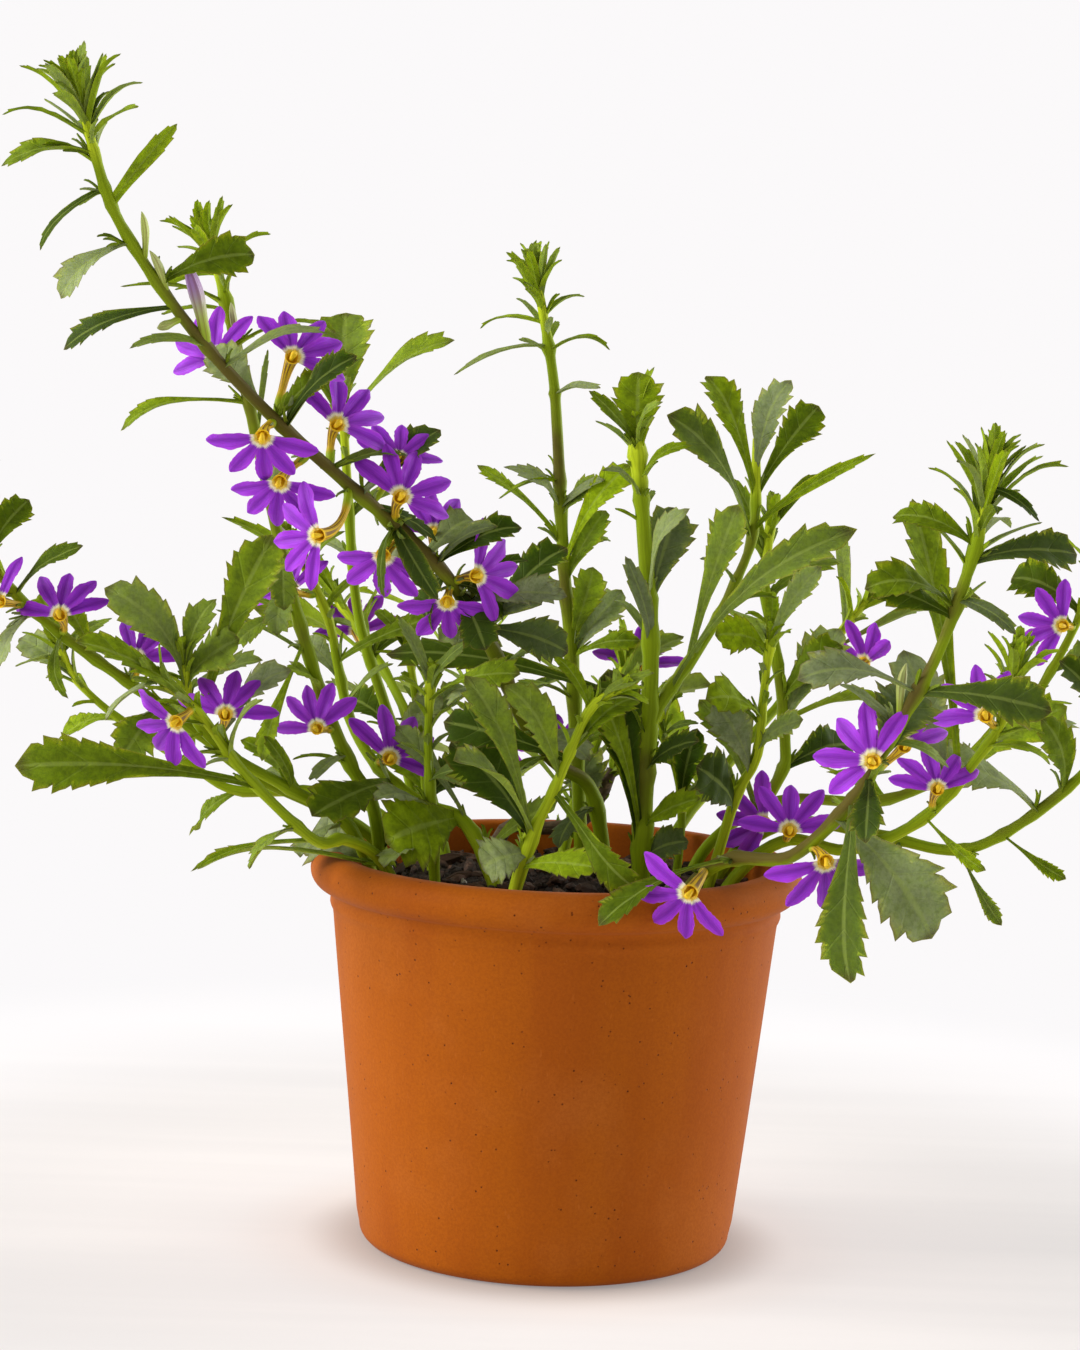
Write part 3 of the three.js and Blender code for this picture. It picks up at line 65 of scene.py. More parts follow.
# Pot: the foot is rounded, a soft ridge runs below the half-round rolled rim, and the rim's inner
# edge is rounded. A point of the ridge is given by its height from the rim and how far it stands
# out, and one of the inner edge by how far it is from the wall's inner face and from the top.
POT_WALL = 4.5
POT_FLOOR = 6
POT_SEGMENTS = 144
FOOT_ROUNDING = 4
ROLL_RADIUS = 5
RIDGE = ((-5.6, 0.05), (-4.6, 0.45), (-3.8, 0.62), (-3.0, 0.5), (-2.0, 0.25), (-1.0, 0.3), (-0.4, 0.7))
INNER_EDGE = ((1.9, 0.05), (1.0, 0.35), (0.35, 1.0), (0.05, 2.2))
DRAIN_HOLES = 3
DRAIN_RADIUS = 5
DRAIN_CIRCLE = 20
DRAIN_FIRST_TURN = 30
DRAIN_SEGMENTS = 28

# Soil: the same gentle waves as the frame's soil, with finer lumps on them. It stays clear of the
# pot by a small gap, and sinks a little in its outermost tenth.
SOIL_TOP = 96.5
SOIL_SEED = 11
SOIL_GAP = 0.15
SOIL_FOOT_GAP = 0.1
SOIL_SINKS_FROM = 0.9
SOIL_SINK = 1.6
SOIL_SEGMENTS = 132
SOIL_RINGS = 44

# What lies on the soil: its seed, how far it stays from the pot's wall, its shortest and longest
# grain, their thickness as a share of that, the sides and rings of a grain, and how high it lies.
STREWN = {
    "soil_bark_chips": (31, 4, (4, 11), (0.2, 0.42), 6, 5, 1.6),
    "soil_perlite": (47, 3, (1.2, 2.8), (0.7, 1.0), 8, 5, 1.2),
    "soil_crumbs": (59, 2, (1.4, 3.6), (0.6, 1.0), 6, 4, 0.9),
}

# Stems: the frame's canes run straight between rings this far apart. The finer ones have five
# shallow ribs, swell for a short way at each joint, and are sunburnt on the side that faces up.
STEM_STEP = 22
FEWEST_STEPS = 3
CANE_SIDES = 10
CANE_RING = 3
RIBS = 5
RIB_HEIGHT = 0.05
SWELLING_REACH = 2.2
SUNNY_SIDE = (-0.35, -0.3, 0.85)

# Leaves: how the frame's plain blades are set out, to find each blade again in the frame.
RIB_THICKNESS = 1.3
TIP_THICKNESS = 0.8
GUTTER = 0.22
ARCH_PLACE = 0.45
SWELL_SHARPNESS = 1.1
FRAME_TEETH_FROM = 0.3
FRAME_TEETH_TO = 0.9
PLAIN_CORNER = 0.58
TOOTH_LEAN = 0.72
TOOTH_REACH = 1.15
NOTCH_DEPTH = 0.84
FOUND_WITHIN = 0.1

# The faces of a stem's leaves turn upwards, and to the front or to the back.
FRONT_UP = (0, -0.6, 0.8)
BACK_UP = (0, 0.6, 0.8)

# The frame's plain blade of each kind: its teeth a side, the places of its midrib's corners, the
# width of its stalk as a share, and how far out it is fullest.
LEAF_KINDS = {
    "large": {"plain_teeth": 3, "rib": (0.3, 0.65), "petiole": 0.17, "fullest": 1.9},
    "medium": {"plain_teeth": 2, "rib": (0.3, 0.65), "petiole": 0.17, "fullest": 1.9},
    "narrow": {"plain_teeth": 1, "rib": (0.34, 0.68), "petiole": 0.3, "fullest": 1.5},
    "bract": {"plain_teeth": 1, "rib": (0.5,), "petiole": 0.3, "fullest": 1.4},
    "young": {"plain_teeth": 0, "rib": (0.55,), "petiole": 0.3, "fullest": 1.4},
}

# The finer blade of each kind: its teeth a side, where they begin, their depth as a share of
# the half width, how slim it is beside the frame's blade, its stalk, how far out it is fullest,
# how blunt its end is, how young its green is, and how much that differs from leaf to leaf.
FINE_BLADES = {
    "large": {"teeth": 5, "from": 0.32, "depth": 0.27, "slim": 1.02, "stalk": 0.2, "fullest": 2.2,
              "blunt": 0.76, "youth": 0.3, "differs": 0.36},
    "medium": {"teeth": 4, "from": 0.42, "depth": 0.27, "slim": 0.92, "stalk": 0.24, "fullest": 2.1,
               "blunt": 0.85, "youth": 0.36, "differs": 0.36},
    "narrow": {"teeth": 2, "from": 0.66, "depth": 0.2, "slim": 0.56, "stalk": 0.55, "fullest": 1.5,
               "blunt": 0.85, "youth": 0.42, "differs": 0.32},
    "bract": {"teeth": 1, "from": 0.68, "depth": 0.12, "slim": 0.85, "stalk": 0.4, "fullest": 1.4,
              "blunt": 0.85, "youth": 0.1, "differs": 0.12},
    "young": {"teeth": 1, "from": 0.74, "depth": 0.25, "slim": 0.62, "stalk": 0.7, "fullest": 1.5,
              "blunt": 0.85, "youth": 0.66, "differs": 0.25},
}
# A leaf more than this many times as long as it is wide has a longer stalk, up to a limit.
LONG_LEAF = 2.5
LONGEST_STALK = 1.7
THINNEST_STALK = 0.28
TEETH_TO = 0.93
TIP_ROW = 0.97
BASE_ROWS = 5
TOOTH_SHAPE = np.array([-0.5, 0.08, 0.35, 1.0])
TOOTH_HOOK = 0.42
TEETH_DRAW = (0.5, 1.45)
FIRST_TOOTH = 0.45
COLUMNS = np.array([-1, -0.62, -0.34, -0.12, 0, 0.12, 0.34, 0.62, 1])
FEW_COLUMNS = np.array([-1, -0.45, 0, 0.45, 1])
DETAIL_SEED = 4001
STEM_SEED_STEP = 7919
BLOOM_SEED_STEP = 104729
FEWEST_LEAVES = 290

# The finer blade's surface: how far it curls, as a share of its length, how fast its margins
# wave, its soft fold, the quilting between its veins, and how wide its midrib is.
CURL_DRAW = (-0.02, 0.085)
MARGIN_WAVES = (5, 9)
FOLD_ROUNDING = 0.02
FOLD_DROP = 0.14
QUILT_DEPTH = 0.05
QUILTS = 30
MIDRIB_WIDTH = 0.13

# Rosettes, as in the frame, but their leaves recurve.
ROSETTE_TURN = 137.5
ROSETTE_TURN_DRAW = 15
ROSETTE_WIDTH = 5
ROSETTE_FIRST = 1.5
ROSETTE_STEP = 2.2
ROSETTE_OPENING = 18
ROSETTE_OPENED = 74
ROSETTE_OPENING_DRAW = 6
ROSETTE_INNER_SHARE = 0.6
ROSETTE_REACH_DRAW = (0.85, 1.1)
ROSETTE_ARCH = -0.12
ROSETTE_SEED = 200
ROSETTE_RECURVE = 0.17

# The smaller leaves inside a rosette, and the collar of them on the cane under it: the first
# one's distance from the tip, the distance from each to the next, how far the first and the last
# stand open, their shortest and longest length as shares of the rosette's, and their width.
INNER_FIRST = 0.5
INNER_STEP = 0.7
INNER_OPENING = (3, 45)
INNER_SHARES = (0.45, 0.9)
INNER_WIDTHS = (3.8, 5.2)
INNER_YOUTH = 0.12
COLLAR_FIRST = 7
COLLAR_STEP = 3.1
COLLAR_OPENING = (28, 62)
COLLAR_SHARES = (0.4, 0.8)
COLLAR_WIDTH = 3.4

# The tufts in the leaf joints: how many tiny leaves, and how long they and a bloom's bracts are.
TUFT_LEAVES = (2, 4.5)
TUFT_REACH = (3.5, 8.5)
BRACT_REACH = (3.5, 5.5)

# Blooms: five petals fanned to one side of the throat of a curved tube, as in the frame.
PETALS = 5
PETAL_SPREAD = 36
PETAL_LENGTH = 12.8
PETAL_SHARES = (0.92, 1.04)
PETAL_LEAN = 1.2
PETAL_FLARE = 2.4
TUBE_BEND = 0.6
BLOOM_SEED = 100

# The finer petal: half the width of its foot and of its wings, how far out it is fullest, how far
# it may turn and tilt, its layer before or behind its neighbours, and its crinkles and groove.
PETAL_FOOT = 0.95
PETAL_WING = 2.15
PETAL_LONGER = 1.12
PETAL_FULLEST = 1.55
PETAL_BLUNT = 0.62
PETAL_ROWS = 18
PETAL_ROOT = 1.3
PETAL_TURN = 6
PETAL_TILT = 14
PETAL_LAYER = 0.3
PETAL_WAVES = (9, 14)
PETAL_CRINKLE = 0.14
PETAL_GROOVE = 0.16
PETAL_LIFT = 0.22

# The tube's radii at its places from the stem to the throat, its lining's from the throat down,
# and the style's.
TUBE_SIDES = 14
TUBE_RINGS = 19
TUBE_PLACES = (0, 0.08, 0.2, 0.32, 0.5, 0.7, 0.88, 0.97, 1)
TUBE_RADII = (0.7, 1.15, 1.2, 0.95, 1.05, 1.3, 1.6, 1.85, 1.95)
LINING_PLACES = (0.985, 0.93, 0.86, 0.78)
LINING_RADII = (1.55, 1.2, 0.9, 0.5)
STYLE_SIDES = 8
STYLE_RADII = (0.35, 0.5, 0.65, 0.85, 0.55)

# Buds: a slim spindle's radii at its places from its stalk to its tip, as shares.
BUD_SIDES = 10
BUD_RINGS = 15
BUD_BOW = 1.5
BUD_RIB_HEIGHT = 0.12
BUD_PLACES = (0, 0.1, 0.3, 0.6, 0.8, 0.93, 1)
BUD_RADII = (0.5, 0.8, 0.72, 1, 0.78, 0.36, 0.08)

# Stage: the floor is a wide disc that sweeps up at its far edge. The lights stand in metres.
FLOOR_RINGS = (200, 800, 2000, 3500)
FLOOR_SWEEP = 4000
FLOOR_SEGMENTS = 96
KEY_PLACE = (-1.74, -0.2, 1.06)
FILL_PLACE = (1.7, 0.86, 0.7)
LIGHT_AIM = (0, 0, 0.12)
LIGHT_SIZE = 1.4
SENSOR_HEIGHT = 36

# Colours that belong to no group of settings.
LEAF_TIP = (0.060, 0.034, 0.018)
BUD_TIP = (0.42, 0.50, 0.10)
BUD_PURPLE = (0.30, 0.12, 0.42)
PERLITE = (0.62, 0.58, 0.52)
PERLITE_STAIN = (0.22, 0.16, 0.11)
PERLITE_PORE = (0.20, 0.16, 0.12)
# Painted shadow on the floor round the pot's foot, warmed as by the pot's reflected light.
PAINTED_POT_SHADOW = (0.30, 0.20, 0.13)
FLOOR_LIGHT = (1.0, 0.982, 0.99, 1.0)
ROOM_LIGHT = (1.0, 0.99, 0.98, 1.0)

# The frame bends a leaf aside where it would cross a neighbour. Its tip is shifted towards the back
# and upwards, and a share of its length is kept.
TIP_SHIFTS = (
    (0, 0), (-4, 0), (4, 0), (0, 4), (0, -4), (-8, 0), (8, 0), (-8, 5), (8, 5), (0, 9),
    (-8, -5), (8, -5), (-13, 0), (13, 0), (-13, 7), (13, 7), (0, 14), (-18, 4), (18, 4),
)
LEAF_BENDS = [(length, back, up) for length in (1, 0.82, 0.64) for back, up in TIP_SHIFTS]

# It shifts a bloom that would cross a neighbour: sideways, towards the back, upwards.
BLOOM_SHIFTS = (
    (0, 0, 0), (0, -2, 0), (0, 2, 0), (0, 0, 2), (0, 0, -2), (2, 0, 0), (-2, 0, 0),
    (0, -4, 0), (0, 4, 0), (0, -4, 3), (0, -4, -3), (4, -2, 0), (-4, -2, 0), (0, -6, 0),
    (4, -4, 3), (-4, -4, 3), (4, -4, -3), (-4, -4, -3), (0, 6, 3), (0, -8, 0), (6, -6, 4),
    (-6, -6, 4), (6, -6, -4), (-6, -6, -4), (0, -6, 8), (0, -6, -8), (8, -4, 0), (-8, -4, 0),
    (8, -8, 6), (-8, -8, 6), (0, -10, -8), (10, -4, -6), (-10, -4, -6), (0, 8, 6), (0, 8, -6),
)

USUAL_LOOK = (0.25, 0.05, 1)
STEMS = []


def floats(numbers):
    return np.array(numbers, dtype=float)


def list_stem(name, radius, rosette, route, leaves, blooms=(), added=(), look=USUAL_LOOK, finer=None,
              facing=FRONT_UP, woody=False, branch=None):
    """Lists a stem, by its route from the foot in the soil to the tip.

    Its radius is given at the foot and at the tip. A rosette is given by its count of leaves and
    the length of the longest. A leaf is given by its place along the stem, its tip, its kind, its
    width, how far it arches, its roll, and how much younger its green is than most. A bloom is
    given by its place along the stem, its throat, how far it is turned from the front and lifted,
    the turn of its fan (0 right, 90 up) and its size. A look is how sunburnt the cane is, how
    much younger its leaves' green is than most, and how slim they are. The added leaves are those
    that the photo shows beside the frame's own. Where the finer blade of one of the frame's leaves
    differs from it, its roll, its width as a share and its youth are given by its place. A branch
    has a radius, a route and leaves of its own.
    """
    sunburn, youth, slim = look
    route = floats(route)
    shoots = [(radius, route, leaves)]
    if branch:
        shoots.append((branch[0], floats(branch[1]), branch[2]))
    STEMS.append({
        "name": name, "radius": radius, "rosette": rosette, "route": route, "shoots": shoots,
        "blooms": blooms, "added": added, "sunburn": sunburn, "youth": youth, "slim": slim,
        "finer": finer or {}, "facing": floats(facing), "woody": woody,
    })


# The tall stem on the left, with a small leaf rosette at its top.
list_stem("tall_left", (1.9, 1.2), (8, 20), look=(0.55, 0.15, 0.6), route=[
    (-45, 2, 86), (-49, 0, 114), (-56, -2, 127), (-65, -5, 149), (-74, -8, 179), (-83, -5, 214),
    (-92, 2, 247), (-97, 6, 261),
], leaves=[
    (0.85, (-118, -10, 249), "narrow", 6, 6), (0.86, (-84, -8, 257), "narrow", 6, 5, 10),
    (0.84, (-109, 9, 242), "medium", 9, 4), (0.8, (-62, -15, 239), "medium", 10, 6, -20),
    (0.74, (-117, -10, 212), "large", 12, 7, 10), (0.7, (-81, 11, 234), "narrow", 5, 4),
    (0.58, (-73, -20, 168), "large", 11, 5, 60), (0.46, (-92, -2, 166), "narrow", 7, 4),
    (0.4, (-72, -14, 152), "large", 12, 4, 20), (0.28, (-70, -16, 129), "narrow", 6, 3, 10),
    (0.3, (-65, -12, 118), "bract", 8, 3), (0.5, (-84, 9, 168), "narrow", 6, 4),
], blooms=[
    (0.78, (-93, -10, 232), -20, 10, 130), (0.35, (-64, -13, 137), -15, 10, 110, 0.9),
], added=[
    (0.08, (-34, 5, 116), "large", 13, 4, 0, -0.5), (0.52, (-86, -11, 158), "medium", 9, 6, -20, 0.1),
    (0.48, (-78, -14, 128), "medium", 9, 6, -10, 0.2), (0.56, (-75, -16, 161), "medium", 13, 3, 0, 0.3),
], finer={0.58: (0, 1, 0.1)})

# The long flowering stem that arches over the front to the upper left.
list_stem("long_front", (2.0, 1.1), (10, 23), look=(1.0, -0.12, 0.88), route=[
    (15, 6, 86), (9, 5, 119), (-1, 0, 128), (-11, -8, 141), (-19, -24, 160), (-33, -43, 182),
    (-57, -60, 204), (-77, -72, 222), (-95, -82, 242), (-110, -89, 264), (-116, -92, 280), (-119, -94, 292),
], leaves=[
    (0.84, (-98, -80, 288), "narrow", 7, 5), (0.91, (-137, -96, 276), "large", 12, 5, 20),
    (0.86, (-129, -85, 257), "narrow", 7, 4), (0.76, (-79, -79, 258), "large", 11, 6, 10),
    (0.8, (-123, -92, 246), "medium", 10, 5, 10), (0.7, (-107, -90, 235), "narrow", 7, 5),
    (0.61, (-54, -77, 235), "medium", 9, 5), (0.53, (-42, -67, 211), "bract", 6, 3),
    (0.52, (-34, -59, 216), "bract", 8, 4, 10), (0.5, (-33, -63, 176), "bract", 8, 4, 30),
    (0.46, (-19, -55, 194), "bract", 9, 4), (0.42, (-11, -32, 184), "bract", 8, 4),
    (0.39, (-2, -41, 178), "bract", 9, 5, 10), (0.34, (-2, -30, 162), "medium", 10, 5),
    (0.36, (-33, -34, 163), "large", 11, 5, 20), (0.32, (-30, -30, 146), "medium", 10, 4, 30),
    (0.5, (-46, -58, 170), "narrow", 8, 4, 50), (0.25, (7, -21, 132), "medium", 10, 5, 20),
    (0.2, (-16, -16, 123), "large", 11, 4, 30), (0.08, (0, -9, 107), "medium", 10, 4, 30),
], blooms=[
    (0.62, (-70, -67, 234), 15, 25, 55), (0.62, (-76, -79, 215), 0, -25, 270),
    (0.56, (-59, -63, 218), 20, 20, 50), (0.52, (-44, -59, 210), 10, 30, 80, 0.8),
    (0.58, (-72, -72, 204), -10, -20, 265, 0.95), (0.54, (-62, -70, 200), -25, 0, 190, 0.95),
    (0.5, (-43, -60, 201), 15, 20, 60), (0.49, (-47, -56, 186), -15, -20, 262),
    (0.46, (-35, -43, 191), 10, 25, 85, 0.9), (0.44, (-24, -47, 181), 30, 5, 10),
    (0.44, (-31, -44, 174), 0, -25, 270, 0.95),
], added=[
    (0.39, (-1, -24, 187), "large", 12, 3, 0, -0.5), (0.42, (-1, -40, 176), "large", 10, 4, 20, -0.5),
    (0.39, (0, -32, 161), "large", 12, 4, 10, -0.5), (0.43, (-21, -43, 162), "medium", 12, 3, 0, -0.5),
    (0.74, (-123, -85, 234), "medium", 10, 5, 0, -0.3), (0.53, (-34, -49, 217), "medium", 11, 4, 0, -0.4),
    (0.47, (-25, -39, 194), "medium", 12, 3, 0, -0.5), (0.62, (-61, -64, 230), "medium", 10, 3, 0, -0.4),
    (0.49, (-47, -44, 176), "medium", 11, 3, 0, -0.5), (0.45, (-35, -35, 168), "large", 13, 3, 0, -0.5),
    (0.52, (-34, -47, 189), "medium", 10, 3, 0, -0.5), (0.44, (-16, -32, 171), "medium", 12, 3, 0, -0.5),
    (0.46, (-13, -43, 193), "medium", 10, 3, 0, -0.4), (0.6, (-74, -62, 201), "medium", 10, 3, 0, -0.5),
    (0.64, (-90, -66, 235), "medium", 12, 3, 0, -0.2), (0.61, (-54, -73, 234), "medium", 11, 3, 0, -0.5),
    (0.56, (-42, -55, 211), "medium", 9, 3, 0, -0.4), (0.68, (-61, -81, 240), "narrow", 9, 4, 0, -0.2),
], finer={0.84: (25, 1.2, 0.4)})

# The straight bare stem in the middle.
list_stem("upright_middle", (1.9, 1.2), (8, 19), look=(0.6, 0.15, 0.75), route=[
    (8, 16, 86), (3, 17, 146), (-1, 19, 181), (-4, 22, 216), (-6, 23, 232), (-11, 24, 256),
], leaves=[
    (0.85, (-32, 9, 229), "narrow", 7, 6, 20), (0.84, (9, 9, 237), "narrow", 7, 5),
    (0.7, (7, 11, 227), "bract", 6, 3), (0.51, (-19, 7, 197), "narrow", 7, 5, 30),
    (0.47, (9, 10, 203), "bract", 7, 3), (0.33, (-13, 28, 179), "narrow", 6, 4),
    (0.24, (20, 5, 161), "medium", 8, 4, 20), (0.4, (12, 33, 185), "narrow", 6, 3),
    (0.19, (-13, 3, 147), "medium", 10, 4, 10), (0.14, (22, 33, 137), "large", 12, 5),
], added=[
    (0.47, (-18, 16, 205), "large", 10, 7, 0, 0.45), (0.46, (8, 14, 203), "medium", 9, 3, 10, 0.35),
    (0.39, (16, 13, 207), "large", 11, 8, 10, 0.4), (0.36, (10, 23, 194), "large", 11, 4, 0, 0.4),
    (0.42, (-25, 21, 205), "medium", 10, 6, 0, 0.4), (0.26, (7, 19, 179), "large", 11, 3, 20, 0.35),
    (0.24, (15, 21, 173), "large", 13, 3, 0, 0.25),
])

# The thickest stem, which forks low down into a leafy branch.
list_stem("thick_front", (2.6, 1.7), (3, 14), look=(0.5, 0.0, 0.88), route=[
    (22, -4, 86), (22, -6, 123), (22, -9, 160), (19, -10, 190), (16, -9, 215),
], leaves=[
    (0.94, (16, -5, 232), "large", 13, 5, -10), (0.96, (3, -17, 227), "narrow", 9, 4),
    (0.89, (30, -18, 214), "narrow", 8, 4), (0.97, (22, -21, 225), "narrow", 7, 4),
    (0.84, (7, -22, 207), "narrow", 6, 4), (0.6, (30, -20, 198), "medium", 9, 5, -20),
    (0.52, (12, -1, 172), "narrow", 6, 4), (0.39, (-47, -22, 152), "large", 14, 12, 10),
    (0.34, (7, -21, 151), "medium", 10, 4), (0.28, (35, -20, 138), "large", 11, 4, 10),
    (0.14, (8, -15, 150), "medium", 10, 4, 10), (0.18, (36, -19, 123), "medium", 10, 4, 20),
], branch=((1.7, 1.0), [
    (22, -8, 138), (26, -6, 147), (37, 2, 163), (44, 8, 176), (49, 12, 191), (49, 16, 215),
], [
    (0.32, (43, -11, 199), "large", 12, 6), (0.24, (72, -31, 195), "large", 13, 14, -30),
    (0.77, (24, -1, 221), "large", 15, 7, 20), (0.87, (35, 19, 231), "large", 11, 6),
    (0.88, (66, 6, 220), "large", 11, 6), (0.8, (79, -2, 213), "narrow", 7, 8, 20),
    (0.94, (57, 9, 231), "large", 12, 5), (0.61, (34, -4, 184), "narrow", 6, 4),
    (0.48, (54, -11, 175), "narrow", 8, 4, 10),
]), added=[
    (0.12, (11, -11, 155), "large", 15, 5, 0, -0.6), (0.6, (27, -2, 197), "large", 14, 3, 10, -0.4),
    (0.51, (14, -17, 185), "narrow", 10, 4, 0, -0.5), (0.12, (34, -9, 110), "medium", 12, 4, 10, -0.5),
], finer={0.39: (-12, 1, -0.1), 0.24: (12, 0.8, -0.1)})

# A short green shoot with two large leaves.
list_stem("green_shoot", (1.5, 1.0), (3, 12), look=(0.08, 0.45, 0.9), route=[
    (38, 2, 86), (46, -2, 120), (51, -5, 132), (52, -7, 148), (53, -8, 164),
], leaves=[
    (0.94, (30, -16, 174), "large", 11, 6), (0.96, (65, -14, 184), "medium", 10, 5),
    (0.68, (36, -21, 149), "large", 12, 4, 20), (0.54, (62, -15, 144), "medium", 10, 4),
    (0.28, (34, 8, 129), "narrow", 8, 4), (0.98, (54, 0, 184), "narrow", 7, 5),
], added=[
    (0.41, (39, -8, 147), "large", 13, 4, 0, -0.5), (0.23, (35, -10, 130), "large", 18, 6, -20, -0.3),
], finer={0.68: (-5, 1, 0.4)})

# A dark stem behind the forked one.
list_stem("back_right", (1.8, 1.2), (3, 16), look=(0.5, -0.05, 1), route=[
    (40, 18, 86), (50, 21, 106), (60, 23, 124), (61, 24, 133), (58, 25, 155), (54, 27, 174), (55, 30, 193),
], leaves=[
    (0.55, (75, 28, 164), "large", 12, 5), (0.66, (44, 37, 159), "narrow", 8, 4),
    (0.81, (74, 41, 182), "medium", 10, 5), (0.9, (45, 40, 203), "narrow", 8, 5),
    (0.98, (71, 40, 204), "narrow", 8, 5), (0.36, (80, 35, 131), "large", 12, 4),
], blooms=[
    (0.22, (55, 8, 111), -10, 5, 175),
], added=[
    (0.59, (75, 20, 160), "large", 11, 4, 0, 0.3), (0.23, (37, 22, 144), "medium", 9, 4, 0, -0.2),
])

# The long stem that leaves over the front of the rim to the right.
list_stem("right_front", (1.9, 1.1), (10, 24), look=(0.95, -0.3, 0.9), route=[
    (26, -26, 86), (34, -38, 104), (42, -53, 113), (55, -76, 118), (67, -92, 134), (74, -100, 149),
    (84, -108, 172), (91, -112, 198), (93, -112, 213),
], leaves=[
    (0.8, (65, -118, 187), "large", 11, 6, 10), (0.87, (72, -106, 203), "medium", 10, 6),
    (0.98, (104, -120, 204), "narrow", 7, 5, 10), (0.85, (115, -108, 196), "large", 12, 7, 10),
    (0.81, (100, -120, 178), "narrow", 8, 4, 20), (0.7, (51, -113, 165), "large", 12, 6, 20),
    (0.7, (110, -115, 160), "large", 13, 6, 20), (0.65, (62, -112, 156), "narrow", 8, 4),
    (0.56, (69, -110, 127), "medium", 9, 4, 50), (0.51, (68, -101, 92), "large", 17, 6, 70),
    (0.47, (87, -99, 103), "large", 21, 6, 60), (0.26, (9, -70, 98), "large", 14, 7, 30),
    (0.88, (97, -102, 215), "narrow", 7, 5), (0.63, (90, -92, 143), "narrow", 8, 4),
], blooms=[
    (0.16, (38, -48, 103), -20, -15, 225, 1.05), (0.41, (62, -89, 119), 10, -20, 275, 1.05),
    (0.6, (70, -107, 146), -20, 10, 140), (0.56, (79, -93, 148), 10, 25, 90, 0.9),
], added=[
    (0.79, (66, -114, 188), "medium", 10, 3, -20, -0.2), (0.6, (81, -93, 161), "large", 16, 5, 10, -0.5),
], finer={0.51: (22, 0.85, -0.4), 0.47: (5, 0.9, 0), 0.56: (0, 1, -0.3), 0.26: (20, 0.75, -0.4)})

# A stem that leans low over the right of the rim and then rises.
list_stem("right_low", (1.8, 1.1), (7, 18), look=(0.2, 0.15, 1), route=[
    (38, -8, 86), (48, -10, 103), (60, -13, 112), (75, -20, 111), (92, -30, 121), (104, -38, 138),
    (110, -42, 150), (112, -42, 164),
], leaves=[
    (0.64, (86, -28, 164), "large", 13, 6, -10), (0.66, (86, -27, 203), "large", 13, 14),
    (0.48, (68, -36, 126), "medium", 10, 4), (0.76, (121, -50, 139), "narrow", 8, 4),
    (0.86, (97, -52, 157), "narrow", 7, 4), (0.58, (107, -45, 111), "large", 12, 4, 30),
], blooms=[
    (0.28, (59, -23, 116), 0, 25, 90), (0.6, (94, -41, 131), 5, 25, 95, 0.9),
    (0.82, (104, -51, 151), -15, 20, 110),
], finer={0.66: (0, 0.8, 0.1), 0.58: (50, 0.36, 0.2)})

# The farthest stem on the right, which trails before it turns up.
list_stem("right_trailing", (1.8, 1.1), (4, 18), look=(0.3, 0.1, 1), route=[
    (38, 12, 86), (47, 12, 103), (63, 11, 113), (86, 6, 111), (104, -2, 109), (117, -8, 115),
    (135, -12, 131), (147, -12, 148), (158, -10, 166),
], leaves=[
    (0.68, (94, -22, 135), "large", 13, 7, 10), (0.62, (132, -18, 105), "large", 12, 4, 30),
    (0.72, (123, -19, 147), "large", 11, 5), (0.84, (127, -18, 162), "large", 11, 5),
    (0.9, (166, -22, 154), "narrow", 9, 5), (0.98, (142, -2, 177), "narrow", 8, 5),
    (0.52, (116, -17, 92), "large", 12, 4, 50), (0.4, (99, -12, 97), "narrow", 9, 4, 50),
], finer={0.52: (50, 0.32, 0.1), 0.62: (50, 0.32, 0.1), 0.4: (50, 0.5, 0.1)})

# A stem behind, on the right.
list_stem("right_back", (1.7, 1.0), (3, 16), look=(0.5, 0.0, 1), route=[
    (33, 23, 86), (42, 27, 104), (61, 37, 115), (90, 44, 115), (111, 42, 125), (124, 40, 135),
    (134, 38, 153), (141, 36, 169), (146, 36, 185),
], leaves=[
    (0.88, (123, 44, 178), "large", 12, 6), (0.75, (152, 48, 156), "large", 11, 5),
    (0.5, (102, 54, 137), "large", 12, 5), (0.62, (143, 54, 138), "large", 11, 5),
    (0.96, (158, 30, 190), "narrow", 8, 5), (0.38, (78, 64, 120), "large", 12, 5),
], blooms=[
    (0.85, (135, 27, 167), -20, 5, 170, 0.95),
], added=[
    (0.49, (139, 36, 144), "large", 14, 6, 20, 0.4),
])

# The farthest stem on the left.
list_stem("left_trailing", (1.8, 1.1), (4, 18), look=(0.35, 0.1, 0.9), route=[
    (-40, 16, 86), (-49, 13, 104), (-63, 8, 113), (-82, -2, 123), (-96, -10, 135), (-113, -18, 148),
    (-131, -22, 161), (-145, -26, 175), (-161, -26, 201),
], leaves=[
    (0.5, (-83, 0, 166), "narrow", 8, 5), (0.84, (-123, -35, 184), "medium", 10, 5),
    (0.8, (-144, -32, 152), "medium", 10, 4, 30), (0.68, (-132, -8, 168), "medium", 9, 4),
    (0.62, (-106, -28, 160), "narrow", 8, 4), (0.93, (-167, -34, 181), "large", 11, 5, 20),
    (0.9, (-139, -18, 194), "medium", 10, 5), (0.56, (-113, -26, 129), "large", 12, 4, 40),
    (0.74, (-126, -34, 145), "narrow", 9, 4, 50),
], blooms=[
    (0.74, (-129, -31, 166), -10, 25, 95, 0.95), (0.82, (-144, -33, 169), -25, 10, 150, 0.9),
    (0.62, (-110, -26, 155), -10, 20, 80, 0.9),
], added=[
    (0.56, (-78, -20, 155), "medium", 10, 4, 0, 0.1),
], finer={0.56: (-10, 1, 0.1)})

